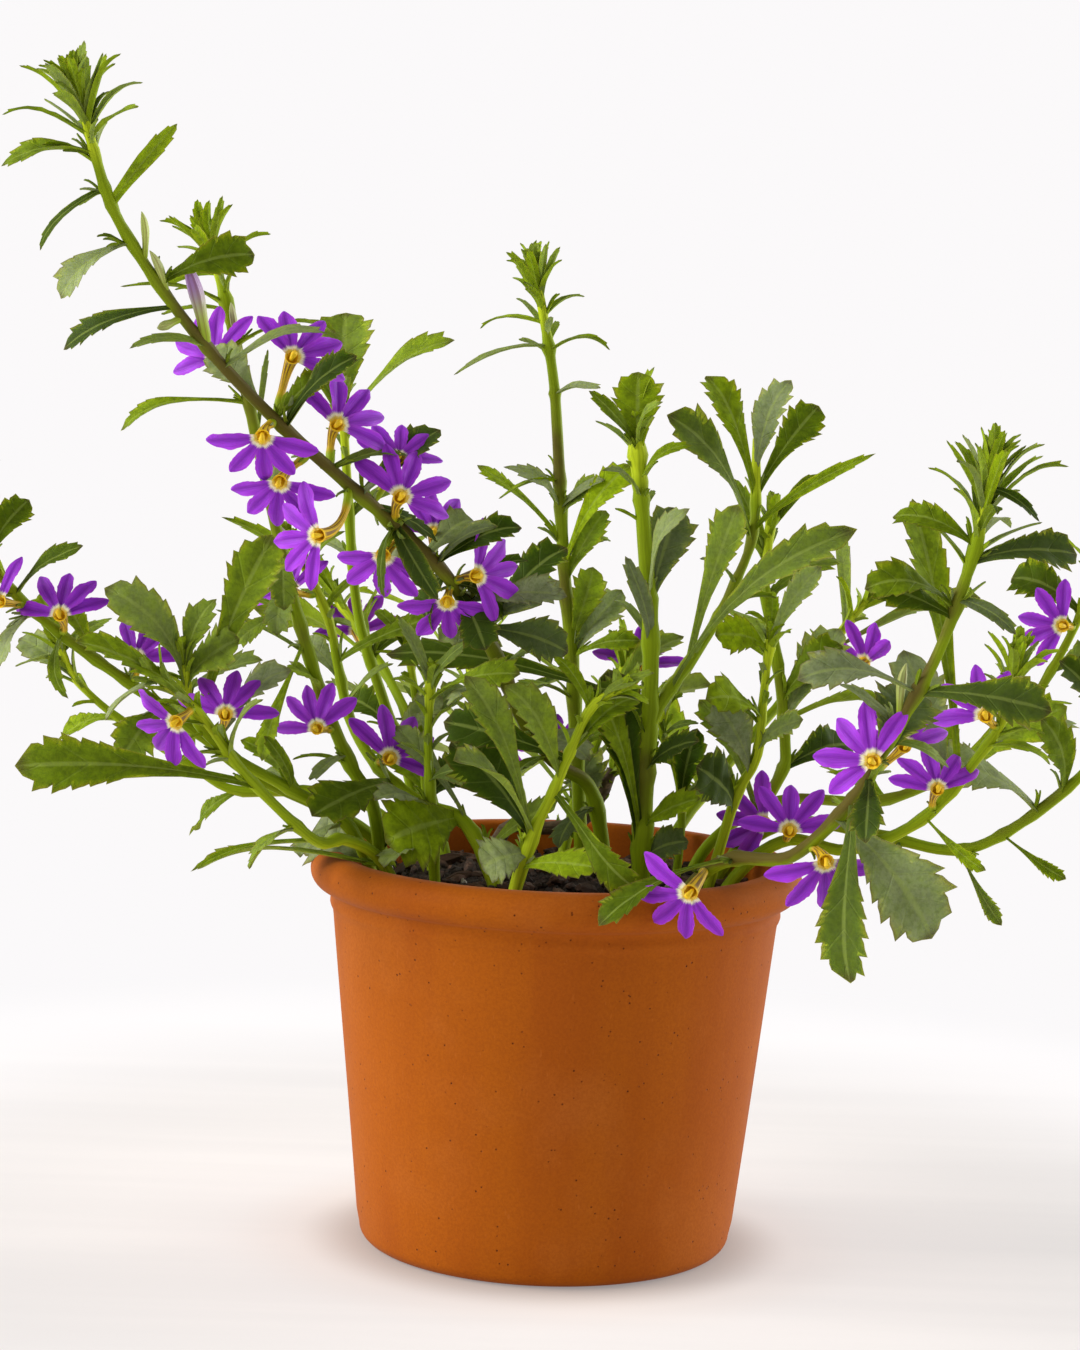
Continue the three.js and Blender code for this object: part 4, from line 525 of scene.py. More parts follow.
# A young light green stem at the front left, with large leaves.
list_stem("left_front", (1.7, 1.0), (3, 14), look=(0.2, 0.15, 1), route=[
    (-38, -14, 86), (-46, -21, 104), (-55, -31, 111), (-61, -38, 111), (-69, -44, 118), (-81, -50, 131),
    (-91, -56, 145), (-102, -60, 155),
], leaves=[
    (0.33, (-93, -47, 104), "narrow", 7, 4, 30), (0.67, (-135, -66, 132), "large", 13, 10, 10),
    (0.86, (-121, -66, 163), "large", 13, 7, 10), (0.75, (-75, -62, 150), "narrow", 8, 4),
    (0.54, (-78, -52, 106), "medium", 10, 4, 40), (0.98, (-113, -67, 144), "narrow", 8, 4, 30),
], blooms=[
    (0.88, (-96, -65, 144), -25, -15, 225, 0.95),
], added=[
    (0.13, (-93, -26, 101), "large", 9, 6, 28, 0.2),
], finer={0.67: (-25, 0.95, -0.1)})

# A stem on the left that ends in large round leaves.
list_stem("left_middle", (1.7, 1.1), (3, 16), look=(0.25, 0.2, 1), route=[
    (-44, -4, 86), (-55, -10, 111), (-70, -16, 121), (-86, -24, 131), (-95, -30, 142), (-97, -34, 155),
], leaves=[
    (0.74, (-76, -35, 188), "large", 14, 9), (0.9, (-117, -40, 174), "large", 17, 9, 10),
    (0.96, (-89, -37, 172), "medium", 9, 5), (0.6, (-99, -34, 127), "narrow", 8, 4, 30),
    (0.4, (-77, -24, 136), "narrow", 8, 4), (0.21, (-67, -20, 104), "medium", 10, 4, 40),
], blooms=[
    (0.68, (-86, -36, 143), 0, 25, 85, 0.95),
], added=[
    (0.12, (-65, 0, 108), "large", 16, 5, -20, -0.4), (0.91, (-83, -36, 162), "large", 14, 5, 0, 0.1),
    (0.66, (-70, -31, 154), "large", 12, 4, 0, 0),
], finer={0.9: (10, 0.72, 0.6), 0.74: (0, 0.85, 0.15)})

# A thin stem behind, on the left.
list_stem("left_back", (1.5, 0.9), (3, 16), route=[
    (-34, 24, 86), (-42, 28, 104), (-61, 36, 113), (-87, 40, 112), (-100, 41, 118), (-120, 42, 130),
    (-132, 42, 140), (-138, 42, 150),
], leaves=[
    (0.86, (-150, 50, 151), "medium", 10, 5), (0.96, (-144, 46, 164), "medium", 9, 5),
    (0.72, (-138, 52, 123), "large", 11, 5, 20), (0.57, (-108, 53, 135), "medium", 10, 5),
    (0.43, (-99, 52, 99), "large", 11, 4, 40), (0.98, (-125, 48, 157), "narrow", 8, 4),
    (0.34, (-82, 54, 115), "narrow", 8, 4),
], added=[
    (0.34, (-87, 34, 127), "medium", 10, 4, 0, 0),
], finer={0.43: (-10, 0.9, 0)})

# A stem that curls inside the left of the plant and ends in a bud.
list_stem("left_inner", (1.8, 1.1), (3, 8), look=(0.2, 0.2, 0.9), route=[
    (-12, -20, 86), (-23, -15, 112), (-37, -7, 118), (-48, 2, 125), (-56, 9, 136), (-60, 13, 150),
    (-64, 15, 165), (-75, 17, 186),
], leaves=[
    (0.61, (-45, 2, 153), "narrow", 7, 4), (0.68, (-71, 24, 156), "medium", 9, 4),
    (0.43, (-32, -10, 140), "medium", 9, 4), (0.86, (-53, 25, 176), "narrow", 7, 4),
    (0.37, (-64, -14, 109), "large", 15, 5, 30), (0.92, (-59, 8, 187), "narrow", 6, 4),
    (0.19, (-42, -29, 101), "large", 22, 6, 40), (0.14, (-44, -3, 123), "medium", 8, 5, 10),
    (0.1, (-1, -29, 123), "medium", 10, 4, 10),
], blooms=[
    (0.89, (-73, 8, 171), -20, 20, 120, 0.85), (0.44, (-45, -7, 129), 15, 15, 60),
], added=[
    (0.73, (-36, 7, 165), "medium", 10, 4, 10, 0.2), (0.18, (-45, -27, 110), "large", 21, 4, -30, 0),
], finer={0.37: (-10, 1, -0.3), 0.19: (-25, 1, 0.1)})

# The stem behind it, with light leaves at its top.
list_stem("left_inner_back", (1.7, 1.1), (3, 14), route=[
    (-32, 17, 86), (-41, 24, 122), (-48, 26, 140), (-56, 30, 164), (-60, 33, 199), (-62, 34, 221),
], leaves=[
    (0.93, (-32, 20, 238), "large", 12, 8), (0.98, (-62, 40, 244), "large", 15, 6),
    (0.94, (-74, 44, 233), "narrow", 9, 5), (0.74, (-46, 46, 196), "narrow", 7, 4),
    (0.68, (-70, 45, 182), "narrow", 7, 4), (0.5, (-39, 40, 161), "medium", 9, 4),
    (0.31, (-59, 41, 138), "large", 11, 4),
])

# Two short parallel stems at the centre left.
list_stem("short_back", (1.5, 1.0), (3, 12), route=[
    (-32, 8, 86), (-36, 9, 125), (-38, 10, 137), (-42, 12, 158),
], leaves=[
    (0.96, (-51, 20, 165), "narrow", 7, 4), (0.96, (-32, 16, 169), "narrow", 7, 4),
    (0.6, (-25, 20, 145), "medium", 10, 4), (0.26, (-49, 23, 128), "large", 12, 4),
], added=[
    (0.24, (-24, 13, 125), "large", 12, 4, 0, -0.5),
])

list_stem("short_front", (1.5, 1.0), (3, 12), route=[
    (-31, -18, 86), (-34, -17, 122), (-35, -16, 134), (-35, -15, 151),
], leaves=[
    (0.9, (-12, -27, 149), "medium", 9, 6, 10), (0.95, (-25, -21, 162), "narrow", 8, 4),
    (0.98, (-44, -21, 162), "narrow", 7, 4), (0.38, (-19, -31, 130), "medium", 10, 4, 10),
    (0.19, (-45, -31, 104), "medium", 10, 4, 30), (0.28, (-48, -29, 121), "medium", 10, 4, 10),
])

# A stem at the front that leans right behind the long leaf.
list_stem("centre_front", (1.6, 1.0), (3, 12), look=(0.1, 0.25, 1), route=[
    (-15, -38, 86), (-8, -41, 114), (-3, -43, 126), (1, -44, 137), (6, -46, 149), (13, -48, 154),
], leaves=[
    (0.2, (-26, -47, 156), "medium", 10, 8), (0.22, (-28, -53, 137), "large", 12, 6, 10),
    (0.42, (19, -61, 105), "medium", 9, 5, 40), (0.14, (9, -56, 110), "medium", 9, 5, 20),
    (0.86, (21, -53, 159), "narrow", 8, 3), (0.79, (-4, -42, 161), "narrow", 7, 4),
    (0.6, (18, -40, 151), "medium", 10, 5),
], added=[
    (0.57, (-31, -38, 143), "large", 11, 5, -20, -0.6), (0.21, (-29, -37, 138), "large", 15, 5, 0, -0.4),
    (0.49, (-16, -49, 154), "large", 12, 4, 0, 0.3), (0.17, (-20, -45, 107), "large", 13, 4, -20, -0.2),
])

# A thin twig between the two upright stems.
list_stem("thin_centre", (1.2, 0.9), (2, 9), route=[
    (31, 5, 86), (33, 10, 113), (31, 11, 126), (27, 12, 136), (28, 12, 145),
], leaves=[
    (0.72, (36, 2, 140), "narrow", 6, 3), (0.88, (33, 8, 153), "narrow", 6, 3),
    (0.33, (48, 23, 122), "medium", 10, 4),
], added=[
    (0.33, (36, 7, 138), "medium", 9, 5, 0, -0.1),
])

# An old woody stem that lies low over the soil.
list_stem("old_wood", (2.3, 1.3), (2, 9), woody=True, route=[
    (-19, 33, 86), (-14, 31, 105), (-2, 31, 106), (9, 36, 109), (15, 38, 122),
], leaves=[
    (0.9, (3, 31, 122), "narrow", 6, 3), (0.97, (22, 30, 123), "narrow", 6, 3),
], added=[
    (0.76, (4, 32, 128), "large", 12, 4, 0, -0.4),
])

# Stems at the back, out of the front view.
list_stem("back_centre", (1.7, 1.1), (4, 17), facing=BACK_UP, route=[
    (0, 36, 86), (6, 50, 112), (14, 66, 134), (20, 80, 150),
], leaves=[
    (0.3, (-26, 66, 138), "large", 11, 5), (0.45, (44, 74, 142), "large", 12, 5),
    (0.62, (-12, 92, 150), "large", 12, 6), (0.75, (46, 98, 160), "large", 11, 5),
    (0.88, (10, 110, 172), "narrow", 8, 5),
], blooms=[
    (0.66, (24, 84, 146), 170, 20, 90), (0.4, (0, 64, 122), 195, 10, 120, 0.95),
])

list_stem("back_left", (1.7, 1.1), (4, 17), facing=BACK_UP, route=[
    (-27, 24, 86), (-33, 37, 108), (-42, 57, 132), (-54, 74, 150), (-66, 88, 164),
], leaves=[
    (0.35, (-66, 66, 140), "large", 12, 5), (0.5, (-16, 84, 150), "large", 11, 6),
    (0.66, (-88, 92, 158), "large", 12, 6), (0.82, (-38, 112, 176), "large", 11, 5),
    (0.92, (-98, 88, 184), "narrow", 8, 5),
], blooms=[
    (0.7, (-58, 88, 152), 190, 20, 80),
])

list_stem("back_right_far", (1.8, 1.1), (4, 17), facing=BACK_UP, route=[
    (24, 28, 86), (34, 40, 106), (52, 62, 126), (70, 82, 144), (90, 100, 166),
], leaves=[
    (0.35, (20, 82, 142), "large", 12, 5), (0.5, (92, 66, 140), "large", 11, 6),
    (0.68, (52, 116, 160), "large", 12, 6), (0.82, (122, 94, 168), "large", 11, 5),
    (0.92, (84, 136, 184), "narrow", 8, 5),
], blooms=[
    (0.72, (84, 88, 146), 150, 15, 70),
])

# A stem that trails over the back of the rim.
list_stem("back_trailing", (1.7, 1.0), (4, 18), facing=BACK_UP, route=[
    (-6, 38, 86), (-8, 49, 104), (-11, 63, 113), (-16, 92, 113), (-22, 118, 126), (-28, 136, 148),
], leaves=[
    (0.35, (-44, 96, 118), "large", 13, 5), (0.45, (14, 106, 116), "large", 12, 6),
    (0.6, (-50, 128, 132), "large", 12, 6), (0.75, (6, 140, 136), "large", 11, 5),
    (0.85, (-56, 146, 158), "narrow", 8, 5), (0.9, (-2, 158, 160), "narrow", 8, 5),
], blooms=[
    (0.66, (-18, 124, 118), 180, -5, 265),
])

# The frame has no room for the bloom that hangs over the front of the rim. Its throat is here.
RIM_BLOOM = (31, -70, 107)
RIM_BLOOM_SEED = 77

# Buds: the stem that carries each, its place there, its tip, its thickness, and how purple
# its tip is, from 0 to 1.
BUDS = (
    ("long_front", 0.78, (-105, -89, 267), 1.0, 0.0), ("long_front", 0.75, (-103, -88, 258), 1.1, 0.1),
    ("long_front", 0.7, (-95, -84, 256), 1.9, 0.9), ("long_front", 0.73, (-101, -86, 240), 1.2, 0.1),
    ("tall_left", 0.8, (-90, -4, 246), 1.0, 0.2), ("left_inner", 0.93, (-76, 13, 187), 1.0, 0.6),
    ("right_front", 0.66, (77, -105, 169), 1.2, 0.1),
)


def length(name, description, default):
    return bpy.props.FloatProperty(
        name=name, description=description, default=default, min=0, subtype="DISTANCE", unit="LENGTH")


def share(name, description, default, most=1.0):
    return bpy.props.FloatProperty(
        name=name, description=description, default=default, min=0, max=most, subtype="FACTOR")


def colour(name, description, default):
    return bpy.props.FloatVectorProperty(
        name=name, description=description, default=default, size=3, min=0, max=1, subtype="COLOR")


def count(name, description, default):
    return bpy.props.IntProperty(name=name, description=description, default=default, min=0)


class PotSettings(bpy.types.PropertyGroup):
    """Sizes and colours of the terracotta pot."""
    height: length("Height", "Height of the pot", float(POT_HIGH[2] - POT_LOW[2]))
    rim_radius: length("Rim radius", "Outer radius of the rolled rim", float(POT_HIGH[0]))
    body_radius: length("Body radius", "Outer radius of the wall under the rim", 0.0593)
    foot_radius: length("Foot radius", "Outer radius at the foot", 0.0493)
    wobble: length("Wobble", "How far the hand-thrown wall strays from round", 0.00015)
    clay: colour("Clay", "Main colour of the fired clay", (0.385, 0.092, 0.003))
    burnt: colour("Burnt", "Duskier colour of the fired patches", (0.29, 0.055, 0.003))
    dust: colour("Dust", "Pale colour of the bloom on the clay", (0.44, 0.125, 0.02))


class SoilSettings(bpy.types.PropertyGroup):
    """Looks of the compost and what lies in it."""
    lumps: length("Lumps", "Height of the crumbs on the surface", 0.0011)
    chips: count("Bark chips", "How many pieces of bark lie on the soil", 170)
    perlite: count("Perlite", "How many white grains lie on the soil", 26)
    crumbs: count("Crumbs", "How many crumbs of earth lie on the soil", 420)
    earth: colour("Earth", "Colour of the damp compost", (0.022, 0.013, 0.009))
    bark: colour("Bark", "Colour of the bark pieces", (0.075, 0.036, 0.020))


class StemSettings(bpy.types.PropertyGroup):
    """Looks of the canes."""
    swelling: share("Swelling", "How much a cane thickens where a leaf joins it", 0.3)
    green: colour("Green", "Colour of the young cane", (0.225, 0.31, 0.005))
    fresh: colour("Fresh", "Colour of a cane near its tip", (0.50, 0.60, 0.018))
    sunburn: colour("Sunburn", "Colour of the side of a cane that faces up", (0.095, 0.062, 0.016))
    wood: colour("Wood", "Colour of the old woody cane", (0.15, 0.095, 0.05))


class LeafSettings(bpy.types.PropertyGroup):
    """Shape and colours of the leaves."""
    thickness: length("Thickness", "Thickness of a blade beside its midrib", 0.0005)
    margin_wave: share("Margin wave", "How much the margins wave, as a share of the width", 0.2)
    twist: bpy.props.FloatProperty(
        name="Twist", description="The most that a blade twists towards its tip",
        default=math.radians(24), subtype="ANGLE", unit="ROTATION")
    tufts: share("Tufts", "Share of the leaf joints that carry a tuft of small leaves", 0.6)
    fullness: share("Fullness", "Upright leaves inside a rosette, as a share of its others", 2.0, 3.0)
    collar: count("Collar leaves", "Small leaves on the cane just under each rosette", 8)
    mature: colour("Mature", "Upper side of a grown leaf", (0.036, 0.062, 0.004))
    young: colour("Young", "Upper side of a young leaf", (0.32, 0.44, 0.006))
    under: colour("Underside", "Underside of a leaf", (0.15, 0.21, 0.013))
    # Partly the velvet's own grey-green and partly painted sheen.
    velvet: colour("Velvet", "Grey-green of the velvety leaves", (0.33, 0.37, 0.19))
    rib: colour("Midrib", "Midrib and veins", (0.34, 0.42, 0.09))


class BloomSettings(bpy.types.PropertyGroup):
    """Shape and colours of the blooms."""
    petal_thickness: length("Petal thickness", "Thickness of a petal", 0.0003)
    violet: colour("Violet", "Wings of the petals", (0.34, 0.038, 0.62))
    band: colour("Band", "Band along the middle of each petal", (0.17, 0.010, 0.32))
    cream: colour("Cream", "Foot of each petal", (0.80, 0.74, 0.50))
    yellow: colour("Yellow", "Throat and tube", (0.70, 0.45, 0.012))
    stripe: colour("Stripe", "Stripes on the tube", (0.11, 0.035, 0.018))


class StageSettings(bpy.types.PropertyGroup):
    """The floor, the light and the camera."""
    focal_length: bpy.props.FloatProperty(
        name="Focal length", description="Lens on a 36 mm high sensor", default=93.33, unit="CAMERA")
    eye: bpy.props.FloatVectorProperty(
        name="Eye", description="Where the camera stands", default=(-0.0219, -0.9147, 0.2533),
        size=3, subtype="TRANSLATION", unit="LENGTH")
    aim: bpy.props.FloatVectorProperty(
        name="Aim", description="Pitch down, roll and yaw of the camera",
        default=(0.1108, 0.0373, 0.0169), size=3, subtype="EULER", unit="ROTATION")
    floor: colour("Floor", "Colour of the floor", (0.33, 0.30, 0.275))
    sky: share("Sky", "Strength of the light from above", 0.3, 4.0)
    glow: share("Floor glow", "Light of the lit floor near the pot", 0.555)
    backdrop: share("Backdrop", "Light of the white backdrop", 0.965)
    key: bpy.props.FloatProperty(
        name="Key light", description="Power of the large light at the left", default=51, unit="POWER")
    fill: bpy.props.FloatProperty(
        name="Fill light", description="Power of the light behind on the right", default=39, unit="POWER")


def unit(vectors):
    """A vector, or each of several, at length 1."""
    return vectors / np.linalg.norm(vectors, axis=-1, keepdims=True)


def square_to(axis, direction):
    """A direction made perpendicular to an axis, at length 1."""
    return unit(direction - axis * np.dot(direction, axis))


def pointing(turn, lift):
    """A direction turned from +X towards +Y, and lifted."""
    return np.array([math.cos(turn) * math.cos(lift), math.sin(turn) * math.cos(lift), math.sin(lift)])


def between(limits, share):
    return limits[0] + (limits[1] - limits[0]) * share


def turned(vector, axis, degrees):
    """A vector turned about an axis of length 1."""
    angle = math.radians(degrees)
    along = axis * np.dot(axis, vector) * (1 - math.cos(angle))
    return vector * math.cos(angle) + np.cross(axis, vector) * math.sin(angle) + along


def seeded_draw(seed):
    """Even draws between two limits, the same on every run and the same as the frame's own."""
    state = seed

    def draw(low, high):
        nonlocal state
        state = (state * 1664525 + 1013904223) % 4294967296
        return low + (high - low) * state / 4294967296

    return draw


def curve_point(route, t):
    """The point at t, from 0 to 1, of the smooth curve through a route."""
    last = len(route) - 1
    i = min(int(last * t), last - 1)
    w = last * t - i
    start, end = route[i], route[i + 1]
    before = route[i - 1] if i > 0 else 2 * start - end
    after = route[i + 2] if i + 2 <= last else 2 * end - start
    leave, arrive = (end - before) / 2, (after - start) / 2
    return (start + leave * w + (3 * end - 3 * start - 2 * leave - arrive) * w ** 2
            + (2 * start - 2 * end + leave + arrive) * w ** 3)


def curve_tangent(route, t):
    low, high = max(t - 0.0001, 0), min(t + 0.0001, 1)
    return unit(curve_point(route, high) - curve_point(route, low))


def curve_length(route):
    points = np.array([curve_point(route, i / 200) for i in range(201)])
    return float(np.linalg.norm(np.diff(points, axis=0), axis=1).sum())


def cane_point(route, t):
    """A point on the axis of the frame's cane, which runs straight between its rings."""
    steps = max(FEWEST_STEPS, round(curve_length(route) / STEM_STEP))
    step = min(int(t * steps), steps - 1)
    start, end = curve_point(route, step / steps), curve_point(route, (step + 1) / steps)
    return start + (end - start) * (t * steps - step)


def bezier_point(start, bend, end, place):
    place = np.asarray(place, dtype=float)[..., None]
    return (1 - place) ** 2 * start + 2 * place * (1 - place) * bend + place ** 2 * end


def bezier_tangent(start, bend, end, place):
    place = np.asarray(place, dtype=float)[..., None]
    return unit(2 * (1 - place) * (bend - start) + 2 * place * (end - bend))


def smooth_mesh(name, points, faces):
    """A smoothly shaded mesh, made from points in millimetres."""
    mesh = bpy.data.meshes.new(name)
    mesh.from_pydata((points * MM).tolist(), [], faces)
    mesh.polygons.foreach_set("use_smooth", [True] * len(faces))
    return mesh


def linked(name, data):
    thing = bpy.data.objects.new(name, data)
    bpy.context.scene.collection.objects.link(thing)
    return thing


class Growth:
    """The points, faces, finishes and surface values of one piece while it is made.

    The value "grain" says where a point is on its blade or round its cane, and "tone" how
    young, sunburnt or purple it is there.
    """

    def __init__(self):
        self.points, self.grain, self.tone = [], [], []
        self.faces, self.finishes = [], []
        self.size = 0

    def add(self, points, faces, finishes, grain, tone):
        self.points.append(points)
        self.grain.append(grain)
        self.tone.append(np.broadcast_to(tone, len(points)))
        self.faces.extend(tuple(corner + self.size for corner in face) for face in faces)
        self.finishes.extend(finishes)
        self.size += len(points)

    def piece(self, name, materials, crease=55):
        mesh = smooth_mesh(name, np.vstack(self.points), self.faces)
        for material in materials:
            mesh.materials.append(material)
        mesh.polygons.foreach_set("material_index", self.finishes)
        grain = mesh.attributes.new("grain", "FLOAT_VECTOR", "POINT")
        grain.data.foreach_set("vector", np.vstack(self.grain).astype(np.float32).ravel())
        tone = mesh.attributes.new("tone", "FLOAT", "POINT")
        tone.data.foreach_set("value", np.concatenate(self.tone).astype(np.float32))
        mesh.set_sharp_from_angle(angle=math.radians(crease))
        mesh.update()
        piece = linked(name, mesh)
        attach(piece, "root")
        return piece


def ring_turns(sides):
    return np.arange(sides) * 2 * math.pi / sides


def swept_rings(line, radii, sides):
    """Rings of points round a line. A radius is one number, or one for each side."""
    turns = ring_turns(sides)
    across = np.array([1.0, 0.3, 0.0])
    rings = []
    for point, tangent, radius in zip(line, unit(np.gradient(line, axis=0)), radii):
        across = square_to(tangent, across)
        upward = np.cross(tangent, across)
        outward = np.outer(np.cos(turns), across) + np.outer(np.sin(turns), upward)
        rings.append(point + outward * np.broadcast_to(radius, sides)[:, None])
    return np.array(rings)


def tube_faces(rings, sides):
    """Faces between closed rings, with a cap at each end."""
    faces = [tuple(reversed(range(sides)))]
    for ring in range(rings - 1):
        for side in range(sides):
            a, b = ring * sides + side, ring * sides + (side + 1) % sides
            faces.append((a, b, b + sides, a + sides))
    faces.append(tuple(range((rings - 1) * sides, rings * sides)))
    return faces


def add_rings(growth, rings, finish, places, tone):
    """A closed bar. Its grain is the turn round the bar, as cosine and sine, and the place."""
    sides = rings.shape[1]
    grain = np.zeros(rings.shape)
    grain[..., 0] = np.cos(ring_turns(sides))
    grain[..., 1] = np.sin(ring_turns(sides))
    grain[..., 2] = np.reshape(places, (-1, 1))
    faces = tube_faces(len(rings), sides)
    growth.add(rings.reshape(-1, 3), faces, [finish] * len(faces), grain.reshape(-1, 3), tone)


def add_blade(growth, spine, tangents, normals, tip, shape, finishes, tone, seed):
    """A closed thin blade: two sheets of rows and columns that share their margins.

    The shape holds, for each row and column, the offsets "out" to the side, "top" and "low"
    along the normal and "on" towards the tip, with the columns' places in "columns" and the
    rows' in "rows".
    """
    sides = np.cross(tangents, normals)
    columns, rows = shape["columns"], shape["rows"]

    def sheet(height):
        return (spine[:, None] + sides[:, None] * shape["out"][..., None]
                + normals[:, None] * height[..., None] + tangents[:, None] * shape["on"][..., None])

    rings = np.concatenate([sheet(shape["top"]), sheet(shape["low"])[:, -2:0:-1]], axis=1)
    around = np.concatenate([columns, columns[-2:0:-1]])
    grain = np.zeros(rings.shape)
    grain[..., 0] = around
    grain[..., 1] = rows[:, None]
    grain[..., 2] = seed
    total, half = len(around), len(columns) - 1
    faces = [tuple(reversed(range(total)))]
    kinds = [finishes[1]]
    for row in range(len(rows)):
        for column in range(total):
            a, b = row * total + column, row * total + (column + 1) % total
            last = row == len(rows) - 1
            faces.append((a, b, len(rows) * total) if last else (a, b, b + total, a + total))
            kinds.append(finishes[0] if column < half else finishes[1])
    points = np.vstack([rings.reshape(-1, 3), tip])
    growth.add(points, faces, kinds, np.vstack([grain.reshape(-1, 3), [0, 1, seed]]), tone)


def frame_points(node):
    """The corners of a node of the frame, in millimetres, ready to be searched."""
    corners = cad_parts[node].data.vertices
    tree = kdtree.KDTree(len(corners))
    for i, corner in enumerate(corners):
        tree.insert(corner.co / MM, i)
    tree.balance()
    return tree


def found(tree, points):
    return sum(tree.find(point)[2] < FOUND_WITHIN for point in points)


def half_width(width, place, stalk, fullest, blunt):
    """Half the width of a blade at a place, from its stalk to its tip."""
    stalk = stalk * (1 - place)
    swell = np.clip(np.sin(np.pi * place ** fullest), 0, 1) ** blunt
    return width / 2 * (stalk + (1 - stalk) * swell)


def blade_axes(leaf):
    """The upward direction of a blade and the bend of its midrib."""
    chord = leaf["tip"] - leaf["root"]
    along = unit(chord)
    upward = turned(square_to(along, leaf["facing"]), along, leaf["roll"])
    return upward, leaf["root"] + chord * ARCH_PLACE + upward * leaf["arch"]


def frame_corners(leaf):
    """The corners that the frame's plain blade has, along its midrib and its outline."""
    kind = LEAF_KINDS[leaf["kind"]]
    upward, bend = blade_axes(leaf)
    side = np.cross(unit(leaf["tip"] - leaf["root"]), upward)
    outline = [(PLAIN_CORNER, 1)]
    if kind["plain_teeth"]:
        step = (FRAME_TEETH_TO - FRAME_TEETH_FROM) / kind["plain_teeth"]
        starts = [FRAME_TEETH_FROM + tooth * step for tooth in range(kind["plain_teeth"])]
        outline = [(FRAME_TEETH_FROM, 1)]
        outline += [(start + TOOTH_LEAN * step, TOOTH_REACH) for start in starts]
        outline += [(start + step, NOTCH_DEPTH) for start in starts]
    corners = []
    for place, reach in [(place, 0) for place in kind["rib"]] + outline:
        point = bezier_point(leaf["root"], bend, leaf["tip"], place)
        normal = square_to(bezier_tangent(leaf["root"], bend, leaf["tip"], place), upward)
        for sign in (-1, 1):
            if reach:
                half = half_width(leaf["width"], place, kind["petiole"], kind["fullest"], SWELL_SHARPNESS)
                out = half * reach
                corners.append(point + side * sign * out + normal * GUTTER * out)
            else:
                half = between((RIB_THICKNESS, TIP_THICKNESS), place) / 2
                corners.append(point + normal * half * sign)
    return corners


def settled_leaf(leaf, tree):
    """The leaf as the frame has it, or None where the frame found no room for it."""
    bent_leaves = []
    for kept, back, up in LEAF_BENDS:
        tip = leaf["root"] + (leaf["tip"] - leaf["root"]) * kept + np.array([0, back, up])
        bent_leaves.append({**leaf, "tip": tip})
        if found(tree, [tip]):
            return bent_leaves[-1]
    matches = [found(tree, frame_corners(bent)) for bent in bent_leaves]
    return bent_leaves[int(np.argmax(matches))] if max(matches) > 1 else None


def settled_leaves(leaves, tree):
    return [leaf for leaf in (settled_leaf(leaf, tree) for leaf in leaves) if leaf]


def blade_rows(blade, draw):
    """The places of a blade's rows, and how far its two margins stand out there."""
    toothed = np.linspace(blade["from"], TEETH_TO, 4 * blade["teeth"] + 1)
    rows = np.concatenate([np.linspace(0, blade["from"], BASE_ROWS, endpoint=False), toothed, [TIP_ROW]])
    growing = FIRST_TOOTH + (1 - FIRST_TOOTH) * np.arange(len(toothed)) / len(toothed)
    margins = []
    for start in (0, 2):
        depths = np.array([blade["depth"] * draw(*TEETH_DRAW) for tooth in range(blade["teeth"] + 2)])
        steps = np.arange(len(toothed)) + start
        stand = TOOTH_SHAPE[steps % 4] * depths[steps // 4] * growing
        margins.append(np.concatenate([np.zeros(BASE_ROWS), stand, [0]]))
    return rows, margins


def twisted(tangents, upward, twist, places):
    """The normals along a blade that twists by an angle on its way to the tip."""
    normals = []
    for tangent, place in zip(tangents, places):
        normals.append(turned(square_to(tangent, upward), tangent, twist * place))
    return np.array(normals)


def edge_waves(places, columns, speeds, draw):
    """Waves that grow from the midrib to the margins, out of step on the two sides."""
    phases = np.where(columns < 0, draw(0, 6.3), draw(0, 6.3))
    return np.sin(places[:, None] * draw(*speeds) + phases) * columns ** 2


